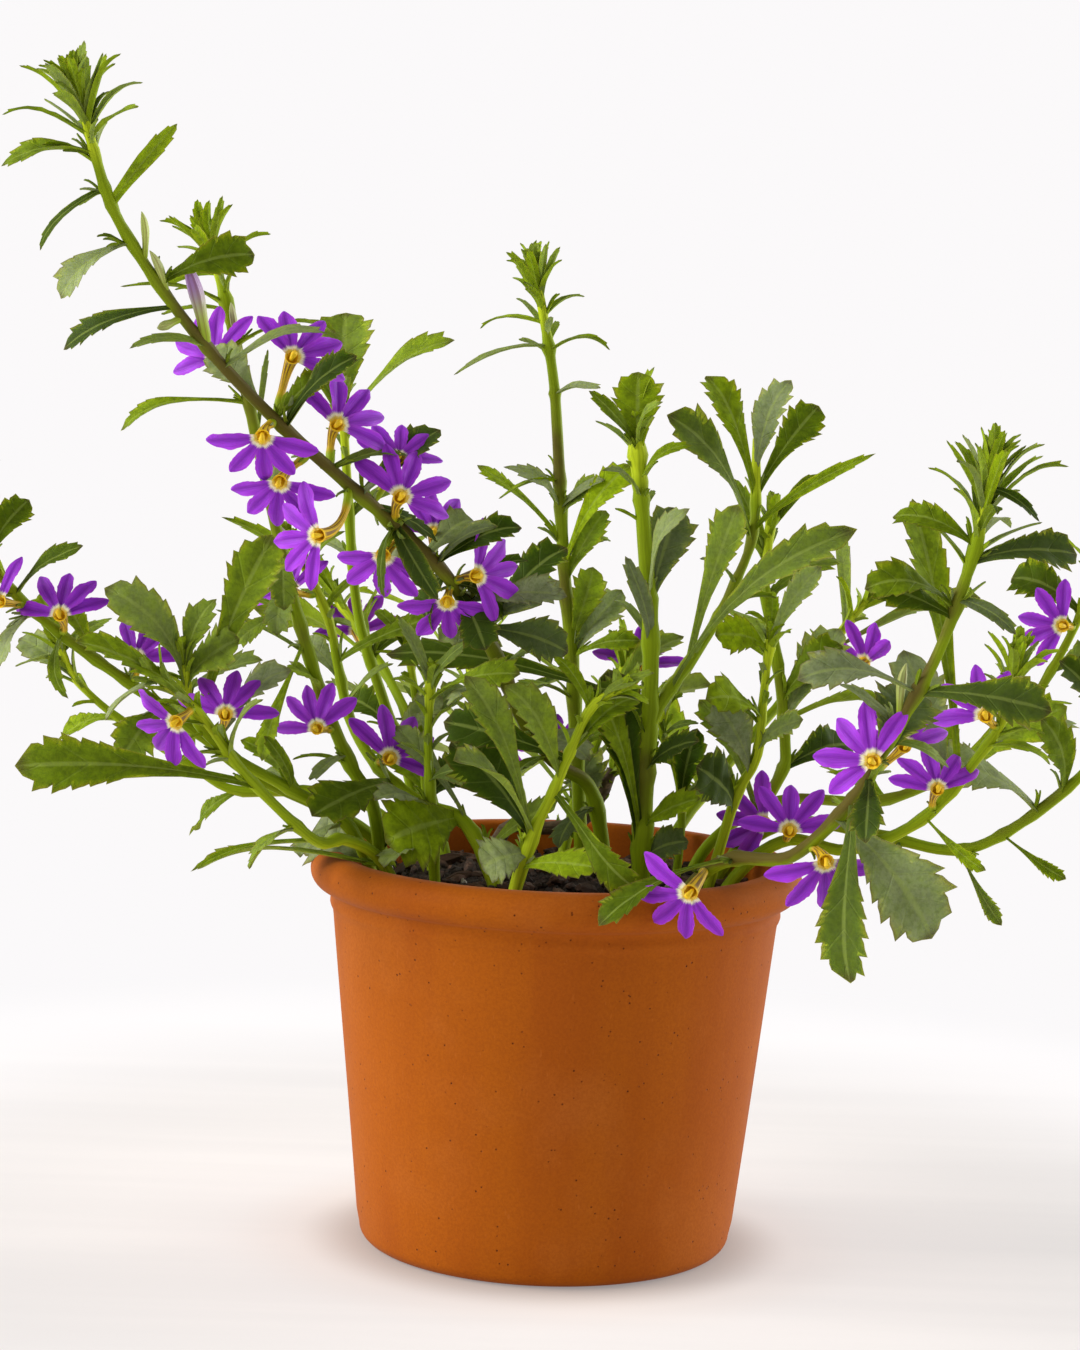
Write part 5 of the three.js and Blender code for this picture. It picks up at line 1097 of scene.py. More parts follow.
def grow_leaf(growth, leaf, settings, draw, finishes=(0, 1)):
    """One toothed blade with a folded midrib, waved margins and a slight twist."""
    blade = FINE_BLADES[leaf["kind"]]
    columns = FEW_COLUMNS if leaf["kind"] == "young" else COLUMNS
    reach = np.linalg.norm(leaf["tip"] - leaf["root"])
    if leaf["kind"] in ("large", "medium"):
        longer = min(max(1.0, reach / (LONG_LEAF * leaf["width"])), LONGEST_STALK)
        blade = {**blade, "fullest": blade["fullest"] * longer, "from": 1 - (1 - blade["from"]) / longer}
    rows, (left, right) = blade_rows(blade, draw)
    upward, bend = blade_axes(leaf)
    spine = bezier_point(leaf["root"], bend, leaf["tip"], rows)
    tangents = bezier_tangent(leaf["root"], bend, leaf["tip"], rows)
    normals = twisted(tangents, upward, math.degrees(settings.twist) * draw(-1, 1), rows)
    curl = draw(*CURL_DRAW) * reach
    spine = spine + normals * (curl * np.sin(math.pi * rows ** 2))[:, None]

    half = half_width(leaf["width"] * blade["slim"], rows, blade["stalk"], blade["fullest"], blade["blunt"])
    half = np.maximum(half, THINNEST_STALK)[:, None]
    out = half * columns
    out[:, 0] *= 1 + left
    out[:, -1] *= 1 + right
    tooth_step = (TEETH_TO - blade["from"]) / blade["teeth"] * reach
    on = np.zeros(out.shape)
    for column, margin in ((0, left), (-1, right)):
        on[:, column] = TOOTH_HOOK * tooth_step * np.clip(margin / blade["depth"], 0, 1)
    spread = np.abs(columns)
    waves = edge_waves(rows, columns, MARGIN_WAVES, draw)
    fold = GUTTER * (np.sqrt(spread ** 2 + FOLD_ROUNDING) - FOLD_DROP)
    quilt = QUILT_DEPTH * np.sin(math.pi * spread) * np.cos(QUILTS * (rows[:, None] - 0.1 * spread))
    middle = half * (fold + settings.margin_wave * waves + quilt)
    thick = settings.thickness / MM * (1.15 - 0.5 * rows)[:, None] * (1 - spread ** 2)
    ridge = np.exp(-(spread / MIDRIB_WIDTH) ** 2) * (1 - 0.75 * rows)[:, None]
    shape = {
        "columns": columns, "rows": rows, "out": out, "on": on,
        "top": middle + thick / 2 - 0.12 * ridge,
        "low": middle - thick / 2 - 0.5 * ridge,
    }
    youth = np.clip(blade["youth"] + leaf["youth"] + draw(-1, 1) * blade["differs"], 0, 1)
    add_blade(growth, spine, tangents, normals, leaf["tip"], shape, finishes, youth, draw(0, 50))


def listed_leaf(stem, curve, t, tip, kind, width, arch, roll=0, youth=None):
    """A leaf of a stem's list, with its root on the frame's cane."""
    return {"t": t, "curve": curve, "root": cane_point(curve, t), "tip": floats(tip),
            "kind": kind, "width": width, "arch": arch, "roll": roll, "facing": stem["facing"],
            "youth": stem["youth"] if youth is None else youth}


def young_leaf(root, heading, reach, width, arch, roll, facing, youth):
    """A small narrow leaf, given by its heading and its reach."""
    return {"root": root, "tip": root + heading * reach, "kind": "young", "width": width,
            "arch": arch, "roll": roll, "facing": facing, "youth": youth}


def opened(tangent, outward, degrees):
    """The heading of a leaf that stands open from its stem by an angle."""
    angle = math.radians(degrees)
    return tangent * math.cos(angle) + outward * math.sin(angle)


def stem_axes(stem, t):
    """The direction of a stem at t, and one across it."""
    tangent = curve_tangent(stem["route"], t)
    return tangent, square_to(tangent, stem["facing"])


def rosette_leaves(stem, seed):
    """The leaves round a stem's tip, set out as in the frame."""
    total, longest = stem["rosette"]
    draw = seeded_draw(seed)
    curve = stem["route"]
    tangent, across = stem_axes(stem, 1)
    leaves = []
    for i in range(total):
        outer = i / total
        t = 1 - (ROSETTE_FIRST + ROSETTE_STEP * i) / curve_length(curve)
        turn = ROSETTE_TURN * i + draw(-ROSETTE_TURN_DRAW, ROSETTE_TURN_DRAW)
        opening = ROSETTE_OPENING + ROSETTE_OPENED * outer
        opening += draw(-ROSETTE_OPENING_DRAW, ROSETTE_OPENING_DRAW)
        reach = longest * between((ROSETTE_INNER_SHARE, 1), outer) * draw(*ROSETTE_REACH_DRAW)
        heading = opened(tangent, turned(across, tangent, turn), opening)
        leaf = young_leaf(cane_point(curve, t), heading, reach, ROSETTE_WIDTH, ROSETTE_ARCH * reach, 0,
                          tangent, stem["youth"])
        leaves.append({**leaf, "t": t, "curve": curve})
    return leaves


def inner_leaves(stem, fullness, draw):
    """The strap-like leaves that still stand upright and close together inside a rosette."""
    curve = stem["route"]
    tangent, across = stem_axes(stem, 1)
    others, longest = stem["rosette"]
    total = round(fullness * others)
    leaves = []
    for i in range(total):
        outer = i / total
        outward = turned(across, tangent, 60 + ROSETTE_TURN * i + draw(-20, 20))
        heading = opened(tangent, outward, between(INNER_OPENING, outer) + draw(-5, 5))
        reach = longest * between(INNER_SHARES, outer) * draw(0.85, 1.12)
        root = curve_point(curve, 1 - (INNER_FIRST + INNER_STEP * i) / curve_length(curve))
        arch = between((0.04, 0.14), outer) * reach
        width = between(INNER_WIDTHS, outer)
        leaves.append(young_leaf(root, heading, reach, width, arch, 0, tangent, INNER_YOUTH))
    return leaves


def collar_leaves(stem, total, draw):
    """The small narrow leaves that crowd the cane just under a rosette."""
    curve = stem["route"]
    leaves = []
    for i in range(total):
        t = 1 - (COLLAR_FIRST + COLLAR_STEP * i) / curve_length(curve)
        tangent, across = stem_axes(stem, t)
        outward = turned(across, tangent, 25 + ROSETTE_TURN * i + draw(-25, 25))
        heading = opened(tangent, outward, between(COLLAR_OPENING, i / total))
        reach = stem["rosette"][1] * draw(*COLLAR_SHARES)
        leaves.append(young_leaf(curve_point(curve, t), heading, reach, COLLAR_WIDTH, 0.14 * reach,
                                 draw(-25, 25), tangent, draw(-0.3, 0)))
    return leaves


def tuft_leaves(leaf, draw):
    """A few tiny leaves in the angle between a leaf and its stem."""
    tangent = curve_tangent(leaf["curve"], leaf["t"])
    outward = unit(leaf["tip"] - leaf["root"])
    root = curve_point(leaf["curve"], leaf["t"]) + outward
    leaves = []
    for i in range(int(draw(*TUFT_LEAVES))):
        stray = np.array([draw(-1, 1), draw(-1, 1), draw(-1, 1)])
        heading = unit(tangent * draw(0.5, 1.1) + outward * draw(0.4, 1.0) + stray * 0.55)
        reach = draw(*TUFT_REACH)
        leaves.append(young_leaf(root, heading, reach, 0.26 * reach, 0.08 * reach, draw(-60, 60),
                                 square_to(heading, tangent + 0.01), -0.25))
    return leaves


def grow_cane(growth, route, radius, joints, swelling, sunburn):
    """A cane that swells where leaves join it. Its grain runs in centimetres.

    Its tone is how sunburnt a point is, on the sunny side and away from the foot and the tip.
    """
    total = curve_length(route)
    places = np.linspace(0, 1, max(8, round(total / CANE_RING)) + 1)
    line = np.array([curve_point(route, t) for t in places])
    radii = between(radius, places)
    for joint in joints:
        radii = radii * (1 + swelling * np.exp(-(((places - joint) * total) / SWELLING_REACH) ** 2))
    ribbed = radii[:, None] * (1 + RIB_HEIGHT * np.cos(RIBS * ring_turns(CANE_SIDES)))
    rings = swept_rings(line, ribbed, CANE_SIDES)
    sun = np.clip(0.6 + 0.5 * unit(rings - line[:, None]) @ unit(floats(SUNNY_SIDE)), 0, 1)
    sun = sun * sunburn * np.interp(places, (0.05, 0.2, 0.72, 0.93), (0.3, 1, 1, 0))[:, None]
    add_rings(growth, rings, 2, places * total / 10, sun.ravel())


def grow_stem(index, stem, settings, leaf_settings, materials):
    """One leafy stem: its cane and branch, its leaves, its rosette and its tufts."""
    tree = frame_points(f"stem_{stem['name']}")
    growth = Growth()
    draw = seeded_draw(DETAIL_SEED + STEM_SEED_STEP * index)
    leaves = []
    for radius, route, rows in stem["shoots"]:
        settled = settled_leaves([listed_leaf(stem, route, *row) for row in rows], tree)
        joints = [leaf["t"] for leaf in settled]
        grow_cane(growth, route, radius, joints, settings.swelling, stem["sunburn"])
        leaves += settled
    leaves += [listed_leaf(stem, stem["route"], *row) for row in stem["added"]]
    for leaf in leaves:
        leaf["width"] *= stem["slim"]
        if draw(0, 1) < leaf_settings.tufts:
            for small in tuft_leaves(leaf, draw):
                grow_leaf(growth, small, leaf_settings, draw)
    rosette = settled_leaves(rosette_leaves(stem, ROSETTE_SEED + index), tree)
    for leaf in rosette:
        leaf["arch"] = ROSETTE_RECURVE * np.linalg.norm(leaf["tip"] - leaf["root"])
    leaves += rosette
    for leaf in leaves:
        leaf["root"] = curve_point(leaf["curve"], leaf["t"])
        if leaf["t"] in stem["finer"]:
            leaf["roll"], kept, leaf["youth"] = stem["finer"][leaf["t"]]
            leaf["width"] *= kept
    crowded = inner_leaves(stem, leaf_settings.fullness, draw)
    crowded += collar_leaves(stem, leaf_settings.collar, draw)
    for leaf in leaves + crowded:
        grow_leaf(growth, leaf, leaf_settings, draw)
    piece = growth.piece(f"leafy_{stem['name']}", materials)
    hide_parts(f"stem_{stem['name']}")
    return len(leaves)


def listed_bloom(stem, t, throat, turn, lift, spin, size=1):
    """A bloom of a stem's list, with where it faces and its fan's own right and upward directions."""
    face = pointing(math.radians(turn - 90), math.radians(lift))
    right = unit(np.cross(UPWARD, face))
    return {"curve": stem["route"], "t": t, "throat": floats(throat), "spin": spin, "size": size,
            "face": face, "right": right, "upward": np.cross(face, right),
            "stem_radius": between(stem["radius"], t)}


def fan_direction(bloom, degrees):
    angle = math.radians(bloom["spin"] + degrees)
    return bloom["right"] * math.cos(angle) + bloom["upward"] * math.sin(angle)


def petal_line(bloom, middle, lean, reach):
    """Points along the middle of a petal, at their reaches from the throat."""
    reach = np.asarray(reach, dtype=float)
    back = (lean - PETAL_FLARE) * bloom["size"] * (reach / PETAL_LENGTH) ** 2
    out = fan_direction(bloom, middle)
    return bloom["throat"] + np.outer(reach * bloom["size"], out) + np.outer(back, bloom["face"])


def petal_draws(seed):
    """The direction, lean and length of each petal, as in the frame."""
    draw = seeded_draw(seed)
    petals = []
    for petal in range(PETALS):
        middle = (petal + 0.5 - PETALS / 2) * PETAL_SPREAD
        lean = draw(-PETAL_LEAN, PETAL_LEAN)
        petals.append((middle, lean, PETAL_LENGTH * draw(*PETAL_SHARES)))
    return petals


def petal_tips(bloom, petals):
    return [petal_line(bloom, middle, lean, [reach])[0] for middle, lean, reach in petals]


def settled_bloom(bloom, petals, tree):
    """The bloom as the frame has it, or None where the frame found no room for it."""
    shifted = [{**bloom, "throat": bloom["throat"] + np.array(shift)} for shift in BLOOM_SHIFTS]
    matches = [found(tree, petal_tips(candidate, petals)) for candidate in shifted]
    return shifted[int(np.argmax(matches))] if max(matches) > 2 else None


def grow_petal(growth, bloom, petal, layer, settings, draw):
    """One petal with a grooved middle and crinkled wings, a layer in front of its neighbours."""
    middle, lean, longest = petal
    middle += draw(-PETAL_TURN, PETAL_TURN)
    longest *= PETAL_LONGER
    places = np.linspace(0, 0.985, PETAL_ROWS)
    reach = PETAL_ROOT + (longest - PETAL_ROOT) * places
    spine = petal_line(bloom, middle, lean, reach) + bloom["face"] * layer
    tangents = unit(np.gradient(spine, axis=0))
    normals = twisted(tangents, bloom["face"], draw(-PETAL_TILT, PETAL_TILT), places)
    wing = np.sin(np.pi * places ** PETAL_FULLEST) ** PETAL_BLUNT
    half = (PETAL_FOOT * (1 - places) ** 2 + PETAL_WING * draw(0.88, 1.08) * wing)[:, None] * bloom["size"]
    ragged = np.array([draw(0.93, 1.05) for row in places])
    out = half * COLUMNS
    out[:, [0, -1]] *= ragged[:, None]
    spread = np.abs(COLUMNS)
    crinkle = PETAL_CRINKLE * edge_waves(places, COLUMNS, PETAL_WAVES, draw)
    groove = PETAL_GROOVE * np.exp(-(spread / 0.2) ** 2) * np.sin(math.pi * places ** 0.7)[:, None]
    lifted = PETAL_LIFT * spread ** 1.5 * np.sin(math.pi * places)[:, None]
    height = half * (crinkle + lifted - groove)
    thick = settings.petal_thickness / MM * (1 - spread ** 2)
    shape = {
        "columns": COLUMNS, "rows": places, "out": out, "on": np.zeros(out.shape),
        "top": height + thick / 2, "low": height - thick / 2,
    }
    tip = petal_line(bloom, middle, lean, [longest])[0] + bloom["face"] * layer
    add_blade(growth, spine, tangents, normals, tip, shape, (0, 0), draw(0, 1), draw(0, 50))


def grow_tube(growth, bloom, draw):
    """The tube from the stem to the open throat, with its ovary, and the style inside it."""
    curve, t, throat, face, size = (bloom[key] for key in ("curve", "t", "throat", "face", "size"))
    axis = cane_point(curve, t)
    bend = throat - face * TUBE_BEND * np.linalg.norm(throat - axis)
    away = square_to(curve_tangent(curve, t), bend - axis)
    start = curve_point(curve, t) + away * bloom["stem_radius"] * 0.5
    places = np.linspace(0, 1, TUBE_RINGS)
    line = bezier_point(start, bend, throat, places)
    rings = swept_rings(line, np.interp(places, TUBE_PLACES, TUBE_RADII) * size, TUBE_SIDES)
    outward = unit(rings[-1] - line[-1])
    inside = bezier_point(start, bend, throat, LINING_PLACES) + face * 0.05
    lining = [point + outward * radius * size for point, radius in zip(inside, LINING_RADII)]
    places = np.append(places, [1.1] * len(lining))
    add_rings(growth, np.concatenate([rings, lining]), 1, places, draw(0, 1))

    back = fan_direction(bloom, 180)
    style = throat + np.array([
        back * 0.5 - face * 1.4, back * 0.75 + face * 0.2, back * 0.45 + face * 1.2,
        -back * 0.1 + face * 1.7, -back * 0.6 + face * 1.6,
    ]) * size
    add_rings(growth, swept_rings(style, np.array(STYLE_RADII) * size, STYLE_SIDES), 1, 1.3, 0.5)
    return start, away


def grow_bloom(name, bloom, petals, settings, leaf_settings, materials, seed):
    """One fan bloom: five petals, the tube and two tiny bracts beside it."""
    draw = seeded_draw(DETAIL_SEED + BLOOM_SEED_STEP * seed)
    growth = Growth()
    for place, petal in enumerate(petals):
        grow_petal(growth, bloom, petal, PETAL_LAYER * (place % 2 - 0.5), settings, draw)
    start, away = grow_tube(growth, bloom, draw)
    tangent = curve_tangent(bloom["curve"], bloom["t"])
    sideways = np.cross(tangent, away)
    for sign in (-1, 1):
        heading = unit(away * 0.8 + sideways * 0.5 * sign + tangent * 0.4)
        side = square_to(heading, tangent)
        bract = young_leaf(start, heading, draw(*BRACT_REACH), 1.5, 0.3, 0, side, -0.2)
        grow_leaf(growth, bract, leaf_settings, draw, (2, 3))
    piece = growth.piece(name, materials)
    return piece


def grow_buds(materials):
    """The buds, each a slim ribbed spindle from its stem to its tip."""
    growth = Growth()
    routes = {stem["name"]: stem["route"] for stem in STEMS}
    places = np.linspace(0, 1, BUD_RINGS)
    profile = np.interp(places, BUD_PLACES, BUD_RADII)
    ribs = 1 + BUD_RIB_HEIGHT * np.cos(RIBS * ring_turns(BUD_SIDES)) * places[:, None]
    for name, t, tip, thickness, purple in BUDS:
        root, tip = curve_point(routes[name], t), floats(tip)
        bow = square_to(curve_tangent(routes[name], t), tip - root) * BUD_BOW
        line = bezier_point(root, (root + tip) / 2 + bow, tip, places)
        rings = swept_rings(line, (thickness * profile)[:, None] * ribs, BUD_SIDES)
        add_rings(growth, rings, 0, places, purple)
    piece = growth.piece("flower_buds", materials)


def pot_section(settings):
    """The pot's section from the middle of its foot, up the outside, and down the inside."""
    height, rim = settings.height / MM, settings.rim_radius / MM
    body, foot = settings.body_radius / MM, settings.foot_radius / MM
    shoulder = height - 2 * ROLL_RADIUS

    def wall(level):
        return foot + (body - foot) * level / shoulder

    def rounded(out, up, rounding, first, last, points):
        turns = np.radians(np.linspace(first, last, points))
        return [(out + rounding * math.cos(turn), up + rounding * math.sin(turn)) for turn in turns]

    section = [(foot - FOOT_ROUNDING, 0)]
    section += rounded(foot - FOOT_ROUNDING, FOOT_ROUNDING, FOOT_ROUNDING, -78, 0, 7)
    section += [(wall(level), level) for level in np.linspace(8, shoulder - 7, 16)]
    section += [(wall(shoulder + above) + stands, shoulder + above) for above, stands in RIDGE]
    section += rounded(rim - ROLL_RADIUS, height - ROLL_RADIUS, ROLL_RADIUS, -72, 90, 17)
    section += [(wall(height) - POT_WALL + edge, height - drop) for edge, drop in INNER_EDGE]
    section += [(wall(level) - POT_WALL, level) for level in np.linspace(height - 4, POT_FLOOR + 3, 14)]
    corner = wall(POT_FLOOR) - POT_WALL
    return section + [(corner - 0.8, POT_FLOOR + 0.6), (corner - 3, POT_FLOOR)]


def turned_body(name, section, segments, stray=0.0, bowl=False):
    """A body turned round the upright axis, closed at both ends, or a bowl that is open above.

    It may stray a little from round.
    """
    turns = ring_turns(segments)
    rings = []
    for radius, level in section:
        reach = radius + stray * (np.sin(2 * turns + 0.6) + 0.6 * np.sin(3 * turns + level / 19))
        upright = np.full(segments, level)
        rings.append(np.stack([reach * np.cos(turns), reach * np.sin(turns), upright], axis=-1))
    middle = [[0, 0, section[0][1]], [0, 0, section[-1][1]]]
    points = np.vstack([np.concatenate(rings), middle])
    low, high = len(points) - 2, len(points) - 1
    faces = []
    for side in range(segments):
        following = (side + 1) % segments
        faces.append((low, following, side))
        for ring in range(len(section) - 1):
            a, b = ring * segments + side, ring * segments + following
            faces.append((a, b, b + segments, a + segments))
        top = (len(section) - 1) * segments
        faces.append((high, top + side, top + following))
    if bowl:
        points, faces = points[:-1], [face[::-1] for face in faces if high not in face]
    return linked(name, smooth_mesh(name, points, faces))


def drill(body, cutter):
    """Takes one body out of another and removes the cutter."""
    cut = body.modifiers.new("cut", "BOOLEAN")
    cut.operation = "DIFFERENCE"
    cut.solver = "EXACT"
    cut.object = cutter
    graph = bpy.context.evaluated_depsgraph_get()
    body.data = bpy.data.meshes.new_from_object(body.evaluated_get(graph))
    body.modifiers.clear()
    bpy.data.objects.remove(cutter)


def soil_height(x, y):
    wave = np.sin(0.13 * x + 0.7) * np.cos(0.11 * y)
    lumps = np.sin(0.9 * x + 1.3 * np.sin(0.7 * y)) * np.sin(1.1 * y + 1.7 * np.sin(0.6 * x))
    return SOIL_TOP + 0.9 * wave - 0.0006 * (x * x + y * y) + 0.45 * lumps


def rough_lump(growth, centre, heading, reach, thickness, sides, rings, draw, tone):
    """A rough closed grain, longer one way, with uneven rings."""
    places = np.linspace(-1, 1, rings)
    line = centre + np.outer(places * reach / 2, heading)
    round_off = np.sqrt(np.clip(1 - (places * 0.9) ** 2, 0.04, 1))
    radii = [[thickness / 2 * full * draw(0.65, 1.3) for side in range(sides)] for full in round_off]
    add_rings(growth, swept_rings(line, np.array(radii), sides), 0, 0, tone)


def scatter(name, total, edge, material):
    """Grains strewn over the soil, each lying nearly flat."""
    seed, clear, reaches, shares, sides, rings, rise = STREWN[name]
    growth = Growth()
    draw = seeded_draw(seed)
    for grain in range(total):
        angle, radius = draw(0, 2 * math.pi), (edge - clear) * math.sqrt(draw(0, 1))
        x, y = radius * math.cos(angle), radius * math.sin(angle)
        reach = draw(*reaches)
        turn, tip = draw(0, 2 * math.pi), draw(-0.35, 0.35)
        heading = pointing(turn, tip)
        centre = np.array([x, y, soil_height(x, y) + rise * draw(0.1, 1)])
        rough_lump(growth, centre, heading, reach, reach * draw(*shares), sides, rings, draw, draw(0, 1))
    piece = growth.piece(name, [material], crease=25)


class Finish:
    """One material while its nodes are laid out: a Principled shader and what feeds it."""

    def __init__(self, name, **sockets):
        self.material = bpy.data.materials.new(name)
        self.material.use_nodes = True
        self.nodes = self.material.node_tree.nodes
        self.links = self.material.node_tree.links
        self.shader = self.nodes["Principled BSDF"]
        for socket, value in sockets.items():
            self.shader.inputs[socket.replace("_", " ")].default_value = value

    def node(self, kind, inputs, output=0, **settings):
        """Adds a node and gives back one of its outputs. An input is a value or an output."""
        node = self.nodes.new(kind)
        for name, value in settings.items():
            setattr(node, name, value)
        for name, value in inputs.items():
            if isinstance(value, bpy.types.NodeSocket):
                self.links.new(value, node.inputs[name])
            else:
                node.inputs[name].default_value = value
        return node.outputs[output]

    def place(self):
        return self.node("ShaderNodeTexCoord", {}, "Object")

    def grain(self):
        return self.node("ShaderNodeAttribute", {}, "Vector", attribute_name="grain")

    def tone(self):
        return self.node("ShaderNodeAttribute", {}, "Fac", attribute_name="tone")

    def parts(self, vector):
        split = self.node("ShaderNodeSeparateXYZ", {"Vector": vector}).node
        return split.outputs["X"], split.outputs["Y"], split.outputs["Z"]

    def stretched(self, vector, scale):
        return self.node("ShaderNodeMapping", {"Vector": vector, "Scale": scale})

    def noise(self, vector, scale, detail=3.0, roughness=0.55):
        return self.node("ShaderNodeTexNoise", {
            "Vector": vector, "Scale": scale, "Detail": detail, "Roughness": roughness}, "Fac")

    def cells(self, vector, scale):
        return self.node("ShaderNodeTexVoronoi", {"Vector": vector, "Scale": scale}, "Distance")

    def maths(self, operation, first, second=0.0):
        return self.node("ShaderNodeMath", {0: first, 1: second}, operation=operation)

    def times(self, first, second):
        return self.maths("MULTIPLY", first, second)

    def fade(self, value, low, high, start=0.0, end=1.0):
        """Eases from the start value at low to the end value at high."""
        return self.node("ShaderNodeMapRange", {
            "Value": value, "From Min": low, "From Max": high, "To Min": start, "To Max": end,
        }, interpolation_type="SMOOTHSTEP")

    def blend(self, factor, first, second):
        first, second = (one if isinstance(one, bpy.types.NodeSocket) else tuple(one) + (1.0,)
                         for one in (first, second))
        return self.node("ShaderNodeMix", {0: factor, 6: first, 7: second}, 2, data_type="RGBA")

    def over(self, base, colour, value, low, high, end=1.0, start=0.0):
        """Lays a colour over a base, as strongly as the value's fade says."""
        return self.blend(self.fade(value, low, high, start, end), base, colour)

    def relief(self, height, strength, depth, under=None):
        """A bump of the given depth in millimetres, over another where one is given."""
        inputs = {"Height": height, "Strength": strength, "Distance": depth * MM}
        if under is not None:
            inputs["Normal"] = under
        return self.node("ShaderNodeBump", inputs)

    def finished(self, base, roughness, normal):
        for socket, value in (("Base Color", base), ("Roughness", roughness), ("Normal", normal)):
            self.links.new(value, self.shader.inputs[socket])
        return self.material


def shade(colour, factor):
    return tuple(min(1.0, part * factor) for part in colour)


def clay_finish(settings):
    """Fired clay: soft upright bands, a pale bloom, fine pits and short scratches."""
    clay = Finish("fired_terracotta", Specular_IOR_Level=0.07, Sheen_Weight=0.03, Sheen_Roughness=0.4)
    place = clay.place()
    bands = clay.noise(clay.stretched(place, (60, 60, 7)), 1.0, 2.0)
    cloud = clay.noise(place, 32, 4.0)
    grain = clay.noise(place, 1300, 3.0, 0.7)
    specks = clay.fade(clay.cells(place, 460), 0.05, 0.17, 1.0, 0.0)
    pits = clay.times(specks, clay.fade(clay.noise(place, 260, 1.0), 0.5, 0.6))
    scratches = clay.fade(clay.noise(clay.stretched(place, (1300, 1300, 330)), 1.0, 1.0), 0.7, 0.78)
    base = clay.over(settings.clay, settings.burnt, bands, 0.38, 0.7, 0.4)
    base = clay.over(base, settings.dust, cloud, 0.45, 0.75, 0.45)
    base = clay.over(base, shade(settings.burnt, 0.7), grain, 0.34, 0.68, 0.28)
    base = clay.blend(pits, base, shade(settings.burnt, 0.35))
    base = clay.blend(clay.times(scratches, 0.22), base, shade(settings.dust, 1.1))
    normal = clay.relief(grain, 0.35, 0.12)
    normal = clay.relief(clay.maths("SUBTRACT", 1.0, pits), 0.8, 0.25, normal)
    normal = clay.relief(bands, 0.15, 0.5, normal)
    return clay.finished(base, clay.fade(cloud, 0.3, 0.8, 0.62, 0.8), normal)


def earth_finish(settings):
    """Damp compost with lighter fibres and crumbs."""
    earth = Finish("damp_compost", Specular_IOR_Level=0.3)
    place = earth.place()
    crumbs = earth.noise(place, 700, 6.0, 0.7)
    patches = earth.noise(place, 130, 3.0)
    fibres = earth.fade(earth.noise(earth.stretched(place, (260, 1500, 700)), 1.0, 2.0), 0.6, 0.7)
    base = earth.over(settings.earth, shade(settings.earth, 2.2), patches, 0.35, 0.7)
    base = earth.over(base, settings.bark, crumbs, 0.5, 0.8, 0.6)
    base = earth.blend(earth.times(fibres, 0.5), base, shade(settings.bark, 2.2))
    return earth.finished(base, earth.fade(crumbs, 0.3, 0.7, 0.95, 0.75), earth.relief(crumbs, 1.0, 0.9))


def bark_finish(name, brown, lightness):
    """Fibrous bark in browns that differ from piece to piece."""
    bark = Finish(name, Specular_IOR_Level=0.25)
    place, tone = bark.place(), bark.tone()
    fibres = bark.noise(bark.stretched(place, (350, 350, 1600)), 1.0, 4.0, 0.6)
    knots = bark.noise(place, 400, 3.0)
    base = bark.blend(tone, shade(brown, 0.55 * lightness), shade(brown, 1.7 * lightness))
    base = bark.over(base, shade(brown, 0.35 * lightness), fibres, 0.42, 0.72, 0.75)
    base = bark.over(base, shade(brown, 2.6 * lightness), knots, 0.58, 0.75, 0.5)
    return bark.finished(base, bark.fade(knots, 0.3, 0.7, 0.85, 0.65), bark.relief(fibres, 0.9, 0.5))


def perlite_finish():
    """Chalky white grains with pores and a trace of earth."""
    chalk = Finish("white_perlite", Specular_IOR_Level=0.3)
    place = chalk.place()
    pores = chalk.cells(place, 1900)
    stain = chalk.noise(place, 330, 4.0)
    base = chalk.over(PERLITE, PERLITE_STAIN, stain, 0.48, 0.72)
    base = chalk.over(base, PERLITE_PORE, pores, 0.0, 0.25, 0.0, 0.5)
    return chalk.finished(base, chalk.fade(stain, 0.3, 0.7, 0.75, 0.9), chalk.relief(pores, 0.7, 0.3))


